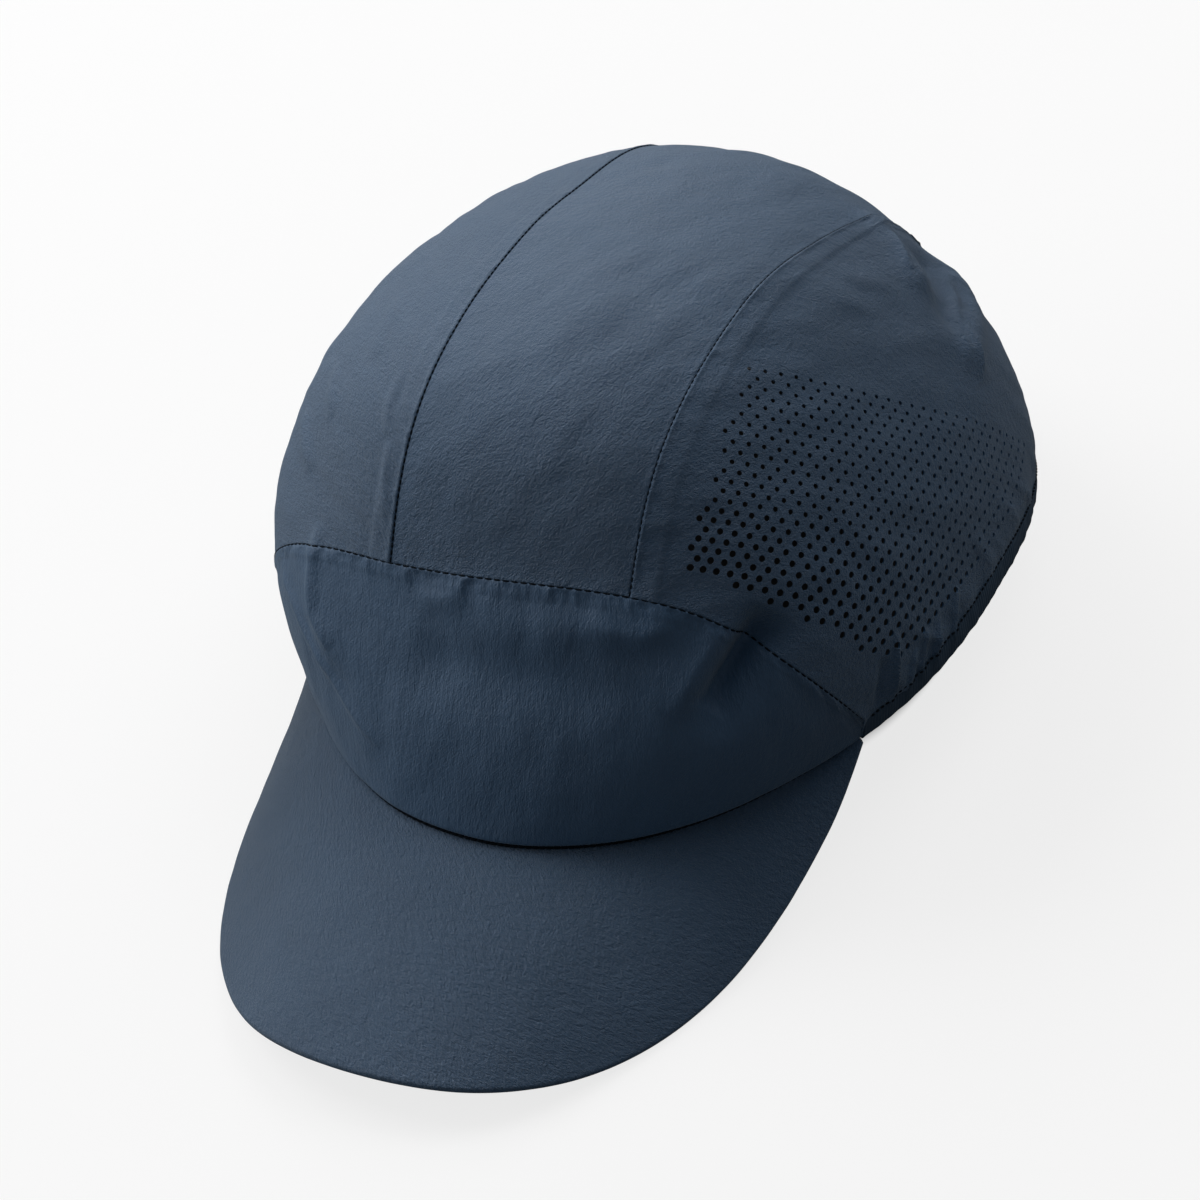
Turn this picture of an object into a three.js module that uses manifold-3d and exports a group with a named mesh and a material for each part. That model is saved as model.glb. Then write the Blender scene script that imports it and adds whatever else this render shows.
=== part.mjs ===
// Five-panel running cap, lying on a table on its visor and the back of its rim.
// Millimetres and degrees, +Z up. The visor points to -Y and the wearer's left is +X.
// The crown is described round a point inside the head: a direction is an azimuth,
// 0 at the front, 90 at the wearer's left and 180 at the back, and an elevation.

import * as THREE from 'three';
import { mergeVertices } from 'three/addons/utils/BufferGeometryUtils.js';
import Module from 'manifold-3d';

const wasm = await Module();
wasm.setup();

// Cloth, tape and seams
const CLOTH_THICKNESS = 1.4;
const VISOR_THICKNESS = 2.4;
const VISOR_EDGE_THICKNESS = 1.2;
const BINDING_THICKNESS = 2.6;
const BINDING_PROUD = 0.6;
const BINDING_HEIGHT = 7;
const PIECE_GAP = 0.3;

// Crown form: the distance from the head's centre to the cloth, by direction.
// lean is what the wearer's left side has more of than the right.
const HEAD_CENTRE_HEIGHT = 20;
const CROWN_TOP = 81;
const crownRows = [
  { elevation: -15, front: 97.5, frontQuarter: 82.5, side: 82.5, backQuarter: 91.5, back: 104.5, lean: -2 },
  { elevation: 5, front: 85.5, frontQuarter: 85.5, side: 81, backQuarter: 94, back: 98.5, lean: -3.5 },
  { elevation: 25, front: 79.5, frontQuarter: 84, side: 82, backQuarter: 91, back: 93.5, lean: -3.5 },
  { elevation: 45, front: 85, frontQuarter: 84.5, side: 81.5, backQuarter: 86.5, back: 91, lean: -2.5 },
  { elevation: 65, front: 84.5, frontQuarter: 82.5, side: 81.5, backQuarter: 82, back: 84, lean: 0.5 },
];

// The rim's height over the plane through its front and back
const rimHeights = [
  { azimuth: 0, height: -0.5 },
  { azimuth: 45, height: 1.5 },
  { azimuth: 90, height: 12 },
  { azimuth: 135, height: 12 },
  { azimuth: 180, height: 0 },
];

// Seams. The front seam climbs from one visor corner over the forehead to the other.
const frontSeamRows = [
  { azimuth: -63.5, elevation: -6 },
  { azimuth: -45, elevation: 13.5 },
  { azimuth: -22, elevation: 23 },
  { azimuth: 0, elevation: 26.5 },
  { azimuth: 22, elevation: 26.5 },
  { azimuth: 45, elevation: 16.5 },
  { azimuth: 63.5, elevation: -6 },
];
// Half widths of the centre panel, at STRIP_REACH before and behind the head's centre
const centreStrip = {
  rightHalfFront: 25,
  rightHalfBack: 27,
  leftHalfFront: 31,
  leftHalfBack: 33,
};
const STRIP_REACH = 90;
const BACK_SEAM_ELEVATION = 27;

// Visor outline, from a corner to the tip, beside the middle plane
const VISOR_CORNER_AZIMUTH = 63.5;
const visorRows = [
  { out: 69.5, forward: 34.5, up: 4.5 },
  { out: 67.5, forward: 47.5, up: -9 },
  { out: 65, forward: 74, up: -20.5 },
  { out: 58.5, forward: 102.5, up: -27 },
  { out: 45, forward: 127.5, up: -28 },
  { out: 25, forward: 145, up: -24.5 },
  { out: 0, forward: 150, up: -23 },
];

// Folds and dents: a soft ridge along a line, or a hollow where the height is negative.
// Places are azimuth and elevation, from one end of the fold to the other.
const folds = [
  { fold: 'temple dent', from: [44, 15], to: [34, 6], height: -4, width: 6 },
  { fold: 'ridge by the dent', from: [38, 19], to: [31, 9], height: 1.6, width: 4 },
  { fold: 'forehead puff', from: [-4, 21], to: [3, 20], height: 1.4, width: 8 },
  { fold: 'left forehead puff', from: [13, 21], to: [28, 21], height: 1.6, width: 6 },
  { fold: 'forehead hollow', from: [-8, 11], to: [24, 12], height: -1.2, width: 7 },
  { fold: 'right temple ridge', from: [-37, 18], to: [-30, 5], height: 1.4, width: 6 },
  { fold: 'right temple crease', from: [-45, 9], to: [-22, 0], height: 1.2, width: 4 },
  { fold: 'top back fold', from: [146, 44], to: [132, 40], height: 1.8, width: 5 },
  { fold: 'back fold', from: [148, 24], to: [123, 28], height: 1.8, width: 5 },
  { fold: 'back hollow', from: [143, 33], to: [130, 33], height: -2.2, width: 6 },
];
const FOLD_RADIUS = 88;

// Perforations of the left side panel: holes in staggered rows that run down towards the back.
// The field has a first and a last place along the rows at each distance down across them
const HOLE_SIDES = 6;
const HOLE_PITCH = 8.4;
const HOLE_ROW_PITCH = 5.6;
const HOLE_RADIUS_TOP = 0.6;
const HOLE_RADIUS_LOW = 0.9;
const HOLE_DEPTH = 12;
const fieldCentre = { azimuth: 72, elevation: 26 };
const FIELD_RADIUS = 84;
const FIELD_TURN = -37;
const fieldRows = [
  { down: -34, first: -36, last: 67 },
  { down: 17.5, first: -51, last: 29.4 },
  { down: 17.6, first: -39, last: 29.3 },
  { down: 31, first: 19.5, last: 19.8 },
];

// Visor arch between its joint and its edge, and where the cap touches the table
const VISOR_RISE = 1.5;
const VISOR_JOINT_GAP = 0.6;
const VISOR_JOINT_LIFT = 1.2;
const REST_TILT = -7.8;
const REST_PRESS = 0.9;

// Columns and rows of each piece's skin
const FRONT_GRID = [22, 8];
const CENTRE_GRID = [9, 26];
const SIDE_GRID = [21, 11];
const BACK_GRID = [9, 6];
const BINDING_GRID = [52, 2];
const VISOR_GRID = [28, 8];

// Width and height of each panel where it is narrow, for the gap along its edges
const FRONT_SPAN = [180, 12];
const CENTRE_SPAN = [58, 170];
const SIDE_SPAN = [160, 90];
const BACK_SPAN = [60, 45];

// Where each meeting of lines is looked for, in degrees, and how closely
const RIM_SEARCH = [-25, 10];
const FRONT_MEETING_SEARCH = [5, 80];
const BACK_MEETING_SEARCH = [110, 180];
const RIM_MEETING_SEARCH = [150, 200];
const HALVINGS = 30;
const SEAM_STEPS = 14;

const UP = new THREE.Vector3(0, 0, 1);
const HEAD_CENTRE = new THREE.Vector3(0, 0, HEAD_CENTRE_HEIGHT);
const { clamp, degToRad, radToDeg, lerp } = THREE.MathUtils;

// A natural cubic curve through one value for each place
function smoothCurve(places, values) {
  const last = places.length - 1;
  const bend = new Array(last + 1).fill(0);
  const factor = new Array(last + 1).fill(0);
  for (let i = 1; i < last; i += 1) {
    const before = places[i] - places[i - 1];
    const after = places[i + 1] - places[i];
    const turn = (values[i + 1] - values[i]) / after - (values[i] - values[i - 1]) / before;
    const pivot = 2 * (before + after) - before * factor[i - 1];
    factor[i] = after / pivot;
    bend[i] = (6 * turn - before * bend[i - 1]) / pivot;
  }
  for (let i = last - 1; i > 0; i -= 1) {
    bend[i] -= factor[i] * bend[i + 1];
  }
  return (place) => {
    let i = 0;
    while (i < last - 1 && place > places[i + 1]) i += 1;
    const step = places[i + 1] - places[i];
    const b = (place - places[i]) / step;
    const a = 1 - b;
    const curved = ((a ** 3 - a) * bend[i] + (b ** 3 - b) * bend[i + 1]) * (step ** 2 / 6);
    return a * values[i] + b * values[i + 1] + curved;
  };
}

// One smooth curve for each named column of a table
function tableCurves(rows, key, columns) {
  const places = rows.map((row) => row[key]);
  return columns.map((name) => smoothCurve(places, rows.map((row) => row[name])));
}

// A smooth even curve round the head through five values, 45 degrees apart from front to back
function roundTheHead(values, azimuth) {
  const last = values.length - 1;
  const share = (i) => (i === 0 || i === last ? 0.5 : 1);
  let sum = 0;
  for (let wave = 0; wave <= last; wave += 1) {
    for (let i = 0; i <= last; i += 1) {
      const weight = share(i) * share(wave) * Math.cos((wave * i * Math.PI) / last);
      sum += weight * values[i] * Math.cos(wave * degToRad(azimuth));
    }
  }
  return (2 * sum) / last;
}

// Crown rows carried on over the top and down the other side, so the top is smooth
function crownCurves() {
  const top = { elevation: 90, lean: 0 };
  for (const name of ['front', 'frontQuarter', 'side', 'backQuarter', 'back']) {
    top[name] = CROWN_TOP;
  }
  const overTheTop = crownRows.toReversed().map((row) => ({
    elevation: 180 - row.elevation,
    front: row.back,
    frontQuarter: row.backQuarter,
    side: row.side,
    backQuarter: row.frontQuarter,
    back: row.front,
    lean: -row.lean,
  }));
  const columns = ['front', 'frontQuarter', 'side', 'backQuarter', 'back', 'lean'];
  return tableCurves([...crownRows, top, ...overTheTop], 'elevation', columns);
}

const crownColumns = crownCurves();
const [frontSeamElevation] = tableCurves(frontSeamRows, 'azimuth', ['elevation']);

function direction(azimuth, elevation) {
  const a = degToRad(azimuth);
  const e = degToRad(elevation);
  return new THREE.Vector3(Math.sin(a) * Math.cos(e), -Math.cos(a) * Math.cos(e), Math.sin(e));
}

function azimuthOf(way) {
  return radToDeg(Math.atan2(way.x, -way.y));
}

function elevationOf(way) {
  return radToDeg(Math.asin(clamp(way.z, -1, 1)));
}

function smoothRadius(way) {
  const elevation = elevationOf(way);
  const azimuth = azimuthOf(way);
  const values = crownColumns.map((curve) => curve(elevation));
  const lean = values.pop() * Math.sin(degToRad(azimuth));
  return roundTheHead(values, azimuth) + lean;
}

// Height of all the folds at a direction: each is a ridge that fades to both sides and at its ends
function foldHeight(way) {
  const place = way.clone().multiplyScalar(FOLD_RADIUS);
  const nearest = new THREE.Vector3();
  let height = 0;
  for (const fold of folds) {
    const from = direction(...fold.from).multiplyScalar(FOLD_RADIUS);
    const to = direction(...fold.to).multiplyScalar(FOLD_RADIUS);
    new THREE.Line3(from, to).closestPointToPoint(place, true, nearest);
    height += fold.height * Math.exp(-((nearest.distanceTo(place) / fold.width) ** 2));
  }
  return height;
}

// A point of the crown, by its direction and its height over the outer face of the cloth
function crownPoint(way, height) {
  const radius = smoothRadius(way) + foldHeight(way) + height;
  return way.clone().multiplyScalar(radius).add(HEAD_CENTRE);
}

// The place in a search range where a rising measure passes zero
function crossing([low, high], measure) {
  let below = low;
  let above = high;
  for (let i = 0; i < HALVINGS; i += 1) {
    const middle = (below + above) / 2;
    if (measure(middle) < 0) below = middle;
    else above = middle;
  }
  return (below + above) / 2;
}

// Rim and binding
const rimHeightValues = rimHeights.map((row) => row.height);

function rimElevation(azimuth) {
  const height = roundTheHead(rimHeightValues, azimuth) - HEAD_CENTRE_HEIGHT;
  return crossing(RIM_SEARCH, (elevation) => {
    const way = direction(azimuth, elevation);
    return smoothRadius(way) * way.z - height;
  });
}

// Elevation of a line that runs round the head a distance above the rim
function overRim(azimuth, distance) {
  const elevation = rimElevation(azimuth);
  return elevation + radToDeg(distance / smoothRadius(direction(azimuth, elevation)));
}

// A point of a long seam beside the middle plane, by the angle over the head: 0 is front, 180 back
function longSeam(side, over) {
  const [front, back] = side > 0
    ? [centreStrip.leftHalfFront, centreStrip.leftHalfBack]
    : [centreStrip.rightHalfFront, centreStrip.rightHalfBack];
  const turn = degToRad(over);
  const way = new THREE.Vector3();
  let out = (side * front) / CROWN_TOP;
  for (let i = 0; i < SEAM_STEPS; i += 1) {
    way.set(Math.sin(out), -Math.cos(turn) * Math.cos(out), Math.sin(turn) * Math.cos(out));
    const radius = smoothRadius(way);
    const along = clamp((radius * way.y + STRIP_REACH) / (2 * STRIP_REACH), 0, 1);
    out = (out + Math.asin((side * lerp(front, back, along)) / radius)) / 2;
  }
  return way;
}

// Where a long seam meets the front seam, the back seam and the binding
function longSeamStops(side) {
  const front = crossing(FRONT_MEETING_SEARCH, (over) => {
    const way = longSeam(side, over);
    return elevationOf(way) - frontSeamElevation(azimuthOf(way));
  });
  const back = crossing(BACK_MEETING_SEARCH, (over) => {
    return BACK_SEAM_ELEVATION - elevationOf(longSeam(side, over));
  });
  const rim = crossing(RIM_MEETING_SEARCH, (over) => {
    const way = longSeam(side, over);
    return overRim(azimuthOf(way), BINDING_HEIGHT + PIECE_GAP) - elevationOf(way);
  });
  return { front, back, rim };
}

const stops = { left: longSeamStops(1), right: longSeamStops(-1) };

// A patch of directions between four edge curves, blended from them
function patch(bottom, top, left, right) {
  const corners = [bottom(0), bottom(1), top(0), top(1)];
  return (u, v) => {
    const way = new THREE.Vector3();
    way.addScaledVector(bottom(u), 1 - v).addScaledVector(top(u), v);
    way.addScaledVector(left(v), 1 - u).addScaledVector(right(v), u);
    way.addScaledVector(corners[0], -(1 - u) * (1 - v)).addScaledVector(corners[1], -u * (1 - v));
    way.addScaledVector(corners[2], -(1 - u) * v).addScaledVector(corners[3], -u * v);
    return way.normalize();
  };
}

// The same patch drawn in at its four edges, to leave half the gap to each neighbour
function drawnIn(way, [width, height]) {
  const u0 = PIECE_GAP / 2 / width;
  const v0 = PIECE_GAP / 2 / height;
  return (u, v) => way(lerp(u0, 1 - u0, u), lerp(v0, 1 - v0, v));
}

// The worn cap is tipped back onto its visor and the back of its rim
function tipped(point) {
  return point.clone().applyAxisAngle(new THREE.Vector3(1, 0, 0), degToRad(REST_TILT));
}

// Lays a point of the worn cap on the table, pressed flat where it touches
const backOfRim = crownPoint(direction(180, rimElevation(180)), BINDING_PROUD);
const restLift = -tipped(backOfRim).z - REST_PRESS;

function lay(point) {
  const laid = tipped(point);
  laid.z = Math.max(laid.z + restLift, 0);
  return laid;
}

// A closed shell between two skins. flipped is for columns that run to the left as seen from outside.
function shellGeometry([columns, rows], outerPoint, innerPoint, flipped) {
  const positions = [];
  for (const point of [outerPoint, innerPoint]) {
    for (let j = 0; j <= rows; j += 1) {
      for (let i = 0; i <= columns; i += 1) {
        positions.push(...lay(point(i / columns, j / rows)).toArray());
      }
    }
  }
  const inner = (columns + 1) * (rows + 1);
  const at = (i, j) => j * (columns + 1) + i;
  const index = [];
  const face = (a, b, c, d) => {
    if (flipped) index.push(c, b, a, d, c, a);
    else index.push(a, b, c, a, c, d);
  };
  for (let j = 0; j < rows; j += 1) {
    for (let i = 0; i < columns; i += 1) {
      const corners = [at(i, j), at(i + 1, j), at(i + 1, j + 1), at(i, j + 1)];
      face(...corners);
      face(...corners.toReversed().map((corner) => corner + inner));
    }
  }
  for (let i = 0; i < columns; i += 1) {
    const [low, lowNext] = [at(i, 0), at(i + 1, 0)];
    const [high, highNext] = [at(i, rows), at(i + 1, rows)];
    face(low + inner, lowNext + inner, lowNext, low);
    face(high, highNext, highNext + inner, high + inner);
  }
  for (let j = 0; j < rows; j += 1) {
    const [start, startNext] = [at(0, j), at(0, j + 1)];
    const [end, endNext] = [at(columns, j), at(columns, j + 1)];
    face(start, startNext, startNext + inner, start + inner);
    face(end + inner, endNext + inner, endNext, end);
  }
  const geometry = new THREE.BufferGeometry();
  geometry.setAttribute('position', new THREE.Float32BufferAttribute(positions, 3));
  geometry.setIndex(index);
  return geometry;
}

function clothGeometry(grid, way, flipped = false) {
  return shellGeometry(
    grid,
    (u, v) => crownPoint(way(u, v), 0),
    (u, v) => crownPoint(way(u, v), -CLOTH_THICKNESS),
    flipped,
  );
}

// Front panel, from the visor joint to the front seam
function frontPanelGeometry() {
  const azimuthAt = (u) => lerp(-VISOR_CORNER_AZIMUTH, VISOR_CORNER_AZIMUTH, u);
  const edge = (azimuth) => (v) => {
    const low = rimElevation(azimuth);
    return direction(azimuth, lerp(low, frontSeamElevation(azimuth), v));
  };
  const way = patch(
    (u) => direction(azimuthAt(u), rimElevation(azimuthAt(u))),
    (u) => direction(azimuthAt(u), frontSeamElevation(azimuthAt(u))),
    edge(-VISOR_CORNER_AZIMUTH),
    edge(VISOR_CORNER_AZIMUTH),
  );
  return clothGeometry(FRONT_GRID, drawnIn(way, FRONT_SPAN));
}

// Centre panel, over the top of the head from the front seam to the back seam
function centrePanelGeometry() {
  const seam = (side, { front, back }) => (v) => longSeam(side, lerp(front, back, v));
  const right = seam(-1, stops.right);
  const left = seam(1, stops.left);
  const frontAzimuth = (u) => lerp(azimuthOf(right(0)), azimuthOf(left(0)), u);
  const way = patch(
    (u) => direction(frontAzimuth(u), frontSeamElevation(frontAzimuth(u))),
    backSeam,
    right,
    left,
  );
  return clothGeometry(CENTRE_GRID, drawnIn(way, CENTRE_SPAN));
}

// The back seam, between the two long seams
function backSeam(u) {
  const right = azimuthOf(longSeam(-1, stops.right.back)) + 360;
  const left = azimuthOf(longSeam(1, stops.left.back));
  return direction(lerp(right, left, u), BACK_SEAM_ELEVATION);
}

// Back panel, from the binding up to the back seam
function backPanelGeometry() {
  const seam = (side, { back, rim }) => (v) => longSeam(side, lerp(rim, back, v));
  const right = seam(-1, stops.right);
  const left = seam(1, stops.left);
  const lowAzimuth = (u) => lerp(azimuthOf(right(0)) + 360, azimuthOf(left(0)), u);
  const way = patch(
    (u) => direction(lowAzimuth(u), overRim(lowAzimuth(u), BINDING_HEIGHT + PIECE_GAP)),
    backSeam,
    right,
    left,
  );
  return clothGeometry(BACK_GRID, drawnIn(way, BACK_SPAN), true);
}

// Side panel, from the front seam and the binding up to the long seam and round to the back panel
function sidePanelWay(side) {
  const { front, back, rim } = side > 0 ? stops.left : stops.right;
  const junction = azimuthOf(longSeam(side, front));
  const corner = side * VISOR_CORNER_AZIMUTH;
  const end = azimuthOf(longSeam(side, rim));
  const low = (azimuth) => direction(azimuth, overRim(azimuth, BINDING_HEIGHT + PIECE_GAP));
  const frontEdge = (v) => {
    const azimuth = lerp(corner, junction, v);
    const elevation = Math.max(frontSeamElevation(azimuth), elevationOf(low(azimuth)));
    return direction(azimuth, elevation);
  };
  return patch(
    (u) => low(lerp(corner, end, u)),
    (u) => longSeam(side, lerp(front, back, u)),
    frontEdge,
    (v) => longSeam(side, lerp(rim, back, v)),
  );
}

function sidePanelGeometry(side) {
  const way = drawnIn(sidePanelWay(side), SIDE_SPAN);
  return clothGeometry(SIDE_GRID, way, side < 0);
}

// The way to a place on the panel, by its distances along the rows and down from the field's centre
function fieldWay(along, down) {
  const centre = direction(fieldCentre.azimuth, fieldCentre.elevation);
  const backwards = UP.clone().cross(centre).normalize();
  const rows = backwards.applyAxisAngle(centre, degToRad(FIELD_TURN));
  const turn = new THREE.Vector3().crossVectors(centre, rows).multiplyScalar(along);
  turn.add(rows.multiplyScalar(down));
  const angle = turn.length() / FIELD_RADIUS;
  return centre.applyAxisAngle(turn.normalize(), angle);
}

// The first and last place along the rows at a distance down the field
function fieldSpan(down) {
  const next = Math.max(fieldRows.findIndex((row) => row.down > down), 1);
  const upper = fieldRows[next - 1];
  const lower = fieldRows[next];
  const share = (down - upper.down) / (lower.down - upper.down);
  return [lerp(upper.first, lower.first, share), lerp(upper.last, lower.last, share)];
}

// The holes inside the field, as ways with a measure of how low in the field each is
function perforationWays() {
  const top = fieldRows[0].down;
  const bottom = fieldRows[fieldRows.length - 1].down;
  const start = Math.min(...fieldRows.map(({ first }) => first));
  const rows = Math.floor((bottom - top) / HOLE_ROW_PITCH);
  const holes = [];
  for (let row = 0; row <= rows; row += 1) {
    const down = top + (row + 0.5) * HOLE_ROW_PITCH;
    const stagger = (row % 2) * (HOLE_PITCH / 2);
    const [first, last] = fieldSpan(down);
    for (let along = start + stagger; along < last; along += HOLE_PITCH) {
      if (along > first) {
        holes.push({ way: fieldWay(along, down), low: row / rows });
      }
    }
  }
  return holes;
}

// One round hole's cutter, a short prism through the wall along its direction
function holeCutter({ way, low }) {
  const radius = lerp(HOLE_RADIUS_TOP, HOLE_RADIUS_LOW, low);
  const prism = new THREE.CylinderGeometry(radius, radius, HOLE_DEPTH, HOLE_SIDES);
  const upright = new THREE.Vector3(0, 1, 0);
  prism.applyQuaternion(new THREE.Quaternion().setFromUnitVectors(upright, way));
  const middle = crownPoint(way, -CLOTH_THICKNESS / 2);
  prism.translate(middle.x, middle.y, middle.z);
  const corners = prism.getAttribute('position');
  const corner = new THREE.Vector3();
  for (let i = 0; i < corners.count; i += 1) {
    corner.fromBufferAttribute(corners, i);
    corners.setXYZ(i, ...lay(corner).toArray());
  }
  return solidOf(prism);
}

// A closed geometry as a solid for cutting, and back
function solidOf(geometry) {
  const bare = geometry.clone();
  bare.deleteAttribute('normal');
  bare.deleteAttribute('uv');
  const merged = mergeVertices(bare);
  return new wasm.Manifold(new wasm.Mesh({
    numProp: 3,
    vertProperties: new Float32Array(merged.getAttribute('position').array),
    triVerts: new Uint32Array(merged.getIndex().array),
  }));
}

function geometryOf(solid) {
  const mesh = solid.getMesh();
  const geometry = new THREE.BufferGeometry();
  geometry.setAttribute('position', new THREE.BufferAttribute(new Float32Array(mesh.vertProperties), 3));
  geometry.setIndex(new THREE.BufferAttribute(new Uint32Array(mesh.triVerts), 1));
  return geometry;
}

function perforated(geometry) {
  let solid = solidOf(geometry);
  for (const hole of perforationWays()) {
    solid = solid.subtract(holeCutter(hole));
  }
  return geometryOf(solid);
}

// Edge binding: elastic tape round the opening, from one visor corner round the back to the other
function edgeBindingGeometry() {
  const start = VISOR_CORNER_AZIMUTH + radToDeg(PIECE_GAP / smoothRadius(direction(90, 0)));
  const way = (u, v) => {
    const azimuth = lerp(start, 360 - start, u);
    return direction(azimuth, lerp(rimElevation(azimuth), overRim(azimuth, BINDING_HEIGHT), v));
  };
  const outer = (u, v) => crownPoint(way(u, v), BINDING_PROUD);
  const inner = (u, v) => {
    const level = way(u, v).setZ(0).normalize();
    return outer(u, v).addScaledVector(level, -BINDING_THICKNESS);
  };
  return shellGeometry(BINDING_GRID, outer, inner, false);
}

// Visor: a curved sheet from its joint under the front panel to its outline
function visorEdgeCurves() {
  const last = visorRows.length - 1;
  const rows = visorRows.map((row, i) => ({ ...row, place: i - last }));
  const mirrored = rows.slice(0, last).toReversed().map((row) => ({
    ...row,
    out: -row.out,
    place: -row.place,
  }));
  return tableCurves([...rows, ...mirrored], 'place', ['out', 'forward', 'up']);
}

function visorGeometry() {
  const [out, forward, up] = visorEdgeCurves();
  const last = visorRows.length - 1;
  const edge = (u) => {
    const place = lerp(last, -last, u);
    return new THREE.Vector3(out(place), -forward(place), up(place));
  };
  const joint = (u) => {
    const azimuth = lerp(-VISOR_CORNER_AZIMUTH, VISOR_CORNER_AZIMUTH, u);
    const point = crownPoint(direction(azimuth, rimElevation(azimuth)), VISOR_JOINT_GAP);
    return point.addScaledVector(UP, VISOR_JOINT_LIFT);
  };
  const arch = (v) => VISOR_RISE * Math.sin(Math.PI * v) + (v * VISOR_EDGE_THICKNESS) / 2;
  const thickness = (v) => lerp(VISOR_THICKNESS, VISOR_EDGE_THICKNESS, v);
  const top = (u, v) => joint(u).lerp(edge(u), v).addScaledVector(UP, arch(v));
  const bottom = (u, v) => top(u, v).addScaledVector(UP, -thickness(v));
  return shellGeometry(VISOR_GRID, top, bottom, true);
}

// Materials
const crownCloth = { color: 0x27323f, roughness: 0.92, metalness: 0 };
const visorCloth = { color: 0x2b3745, roughness: 0.95, metalness: 0 };
const elasticTape = { color: 0x11161c, roughness: 0.85, metalness: 0 };

const pieces = [
  ['front_panel', frontPanelGeometry(), crownCloth],
  ['centre_panel', centrePanelGeometry(), crownCloth],
  ['side_panel_left', perforated(sidePanelGeometry(1)), crownCloth],
  ['side_panel_right', sidePanelGeometry(-1), crownCloth],
  ['back_panel', backPanelGeometry(), crownCloth],
  ['edge_binding', edgeBindingGeometry(), elasticTape],
  ['visor', visorGeometry(), visorCloth],
];

const cap = new THREE.Group();
for (const [name, geometry, look] of pieces) {
  const mesh = new THREE.Mesh(geometry, new THREE.MeshStandardMaterial(look));
  mesh.name = name;
  cap.add(mesh);
}

// The origin is on the table, in the middle under the cap
const box = new THREE.Box3().setFromObject(cap);
const middle = box.getCenter(new THREE.Vector3());
cap.position.set(-middle.x, -middle.y, -box.min.z);

export default cap;
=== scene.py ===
# %% [markdown]
# # A five-panel running cap
# This cap is sewn from thin woven cloth: a forehead panel, a long panel over the top of the
# head, two side panels and a small back panel. A stiffened visor is sewn under the forehead
# panel, and an elastic tape is folded round the rest of the opening.
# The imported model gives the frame: where the cap lies, its size and its seven pieces. This
# lesson builds the cloth that is seen over them, one piece after the other.

# %% Load the frame
import math

import bpy
import numpy as np
from mathutils import Matrix, Vector, noise


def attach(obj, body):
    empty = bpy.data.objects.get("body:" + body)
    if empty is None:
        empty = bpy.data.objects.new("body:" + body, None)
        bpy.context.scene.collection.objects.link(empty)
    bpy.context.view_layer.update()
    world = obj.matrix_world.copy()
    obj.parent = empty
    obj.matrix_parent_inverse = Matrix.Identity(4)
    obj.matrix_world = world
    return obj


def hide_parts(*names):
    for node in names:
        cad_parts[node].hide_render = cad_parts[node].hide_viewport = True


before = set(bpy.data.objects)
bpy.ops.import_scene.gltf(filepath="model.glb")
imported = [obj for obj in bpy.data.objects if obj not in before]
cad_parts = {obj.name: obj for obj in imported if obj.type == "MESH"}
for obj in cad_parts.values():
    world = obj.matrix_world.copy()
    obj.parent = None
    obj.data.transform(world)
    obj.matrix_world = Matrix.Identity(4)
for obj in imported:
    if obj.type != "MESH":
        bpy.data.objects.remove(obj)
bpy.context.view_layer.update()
bpy.ops.object.select_all(action="DESELECT")

# %% [markdown]
# ## Where the cap lies
# The cap's form is easiest to state as it is worn, with the rim nearly level. It then tips back
# a little and lies on its visor and on the back of its rim. Everything below is worked out in
# millimetres on the worn cap, and one function lays it on the table in metres.

# %% From the worn cap to the table
MM = 0.001
HEAD_CENTRE = np.array([0.0, 0.0, 20.0])
REST_TILT = math.radians(-7.8)
REST_SHIFT = np.array([3.0, 24.93, 13.05])
TILT = np.array(Matrix.Rotation(REST_TILT, 3, "X"))


def lay(points):
    """Puts points of the worn cap, in millimetres, where they lie on the table, in metres."""
    laid = points @ TILT.T + REST_SHIFT
    laid[..., 2] = np.maximum(laid[..., 2], 0.0)
    return laid * MM


# %% [markdown]
# ## The camera
# The photograph looks down on the wearer's left front from about a metre and a half away, with
# a long lens and a slight roll. The camera is placed on the worn cap's own axes and then tipped
# with the cap, so that the view stays the same whatever way the cap comes to rest. The picture
# keeps its plain tones, near-white paper and near-black folds, so the Standard view is used.

# %% Place the camera
CAMERA_AZIMUTH = math.radians(30.86)
CAMERA_ELEVATION = math.radians(36.29)
CAMERA_ROLL = math.radians(5.095)
CAMERA_DISTANCE = 1400.0
SENSOR = 36.0
PHOTO_SIDE = 1200.0
PIXELS_PER_MM = 4.326
OPTICAL_CENTRE = (660.9, 603.2)

backwards = np.array([
    math.sin(CAMERA_AZIMUTH) * math.cos(CAMERA_ELEVATION),
    -math.cos(CAMERA_AZIMUTH) * math.cos(CAMERA_ELEVATION),
    math.sin(CAMERA_ELEVATION),
])
level_right = np.array([math.cos(CAMERA_AZIMUTH), math.sin(CAMERA_AZIMUTH), 0.0])
level_up = np.cross(backwards, level_right)
right = level_right * math.cos(CAMERA_ROLL) - level_up * math.sin(CAMERA_ROLL)
up = level_right * math.sin(CAMERA_ROLL) + level_up * math.cos(CAMERA_ROLL)

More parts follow.
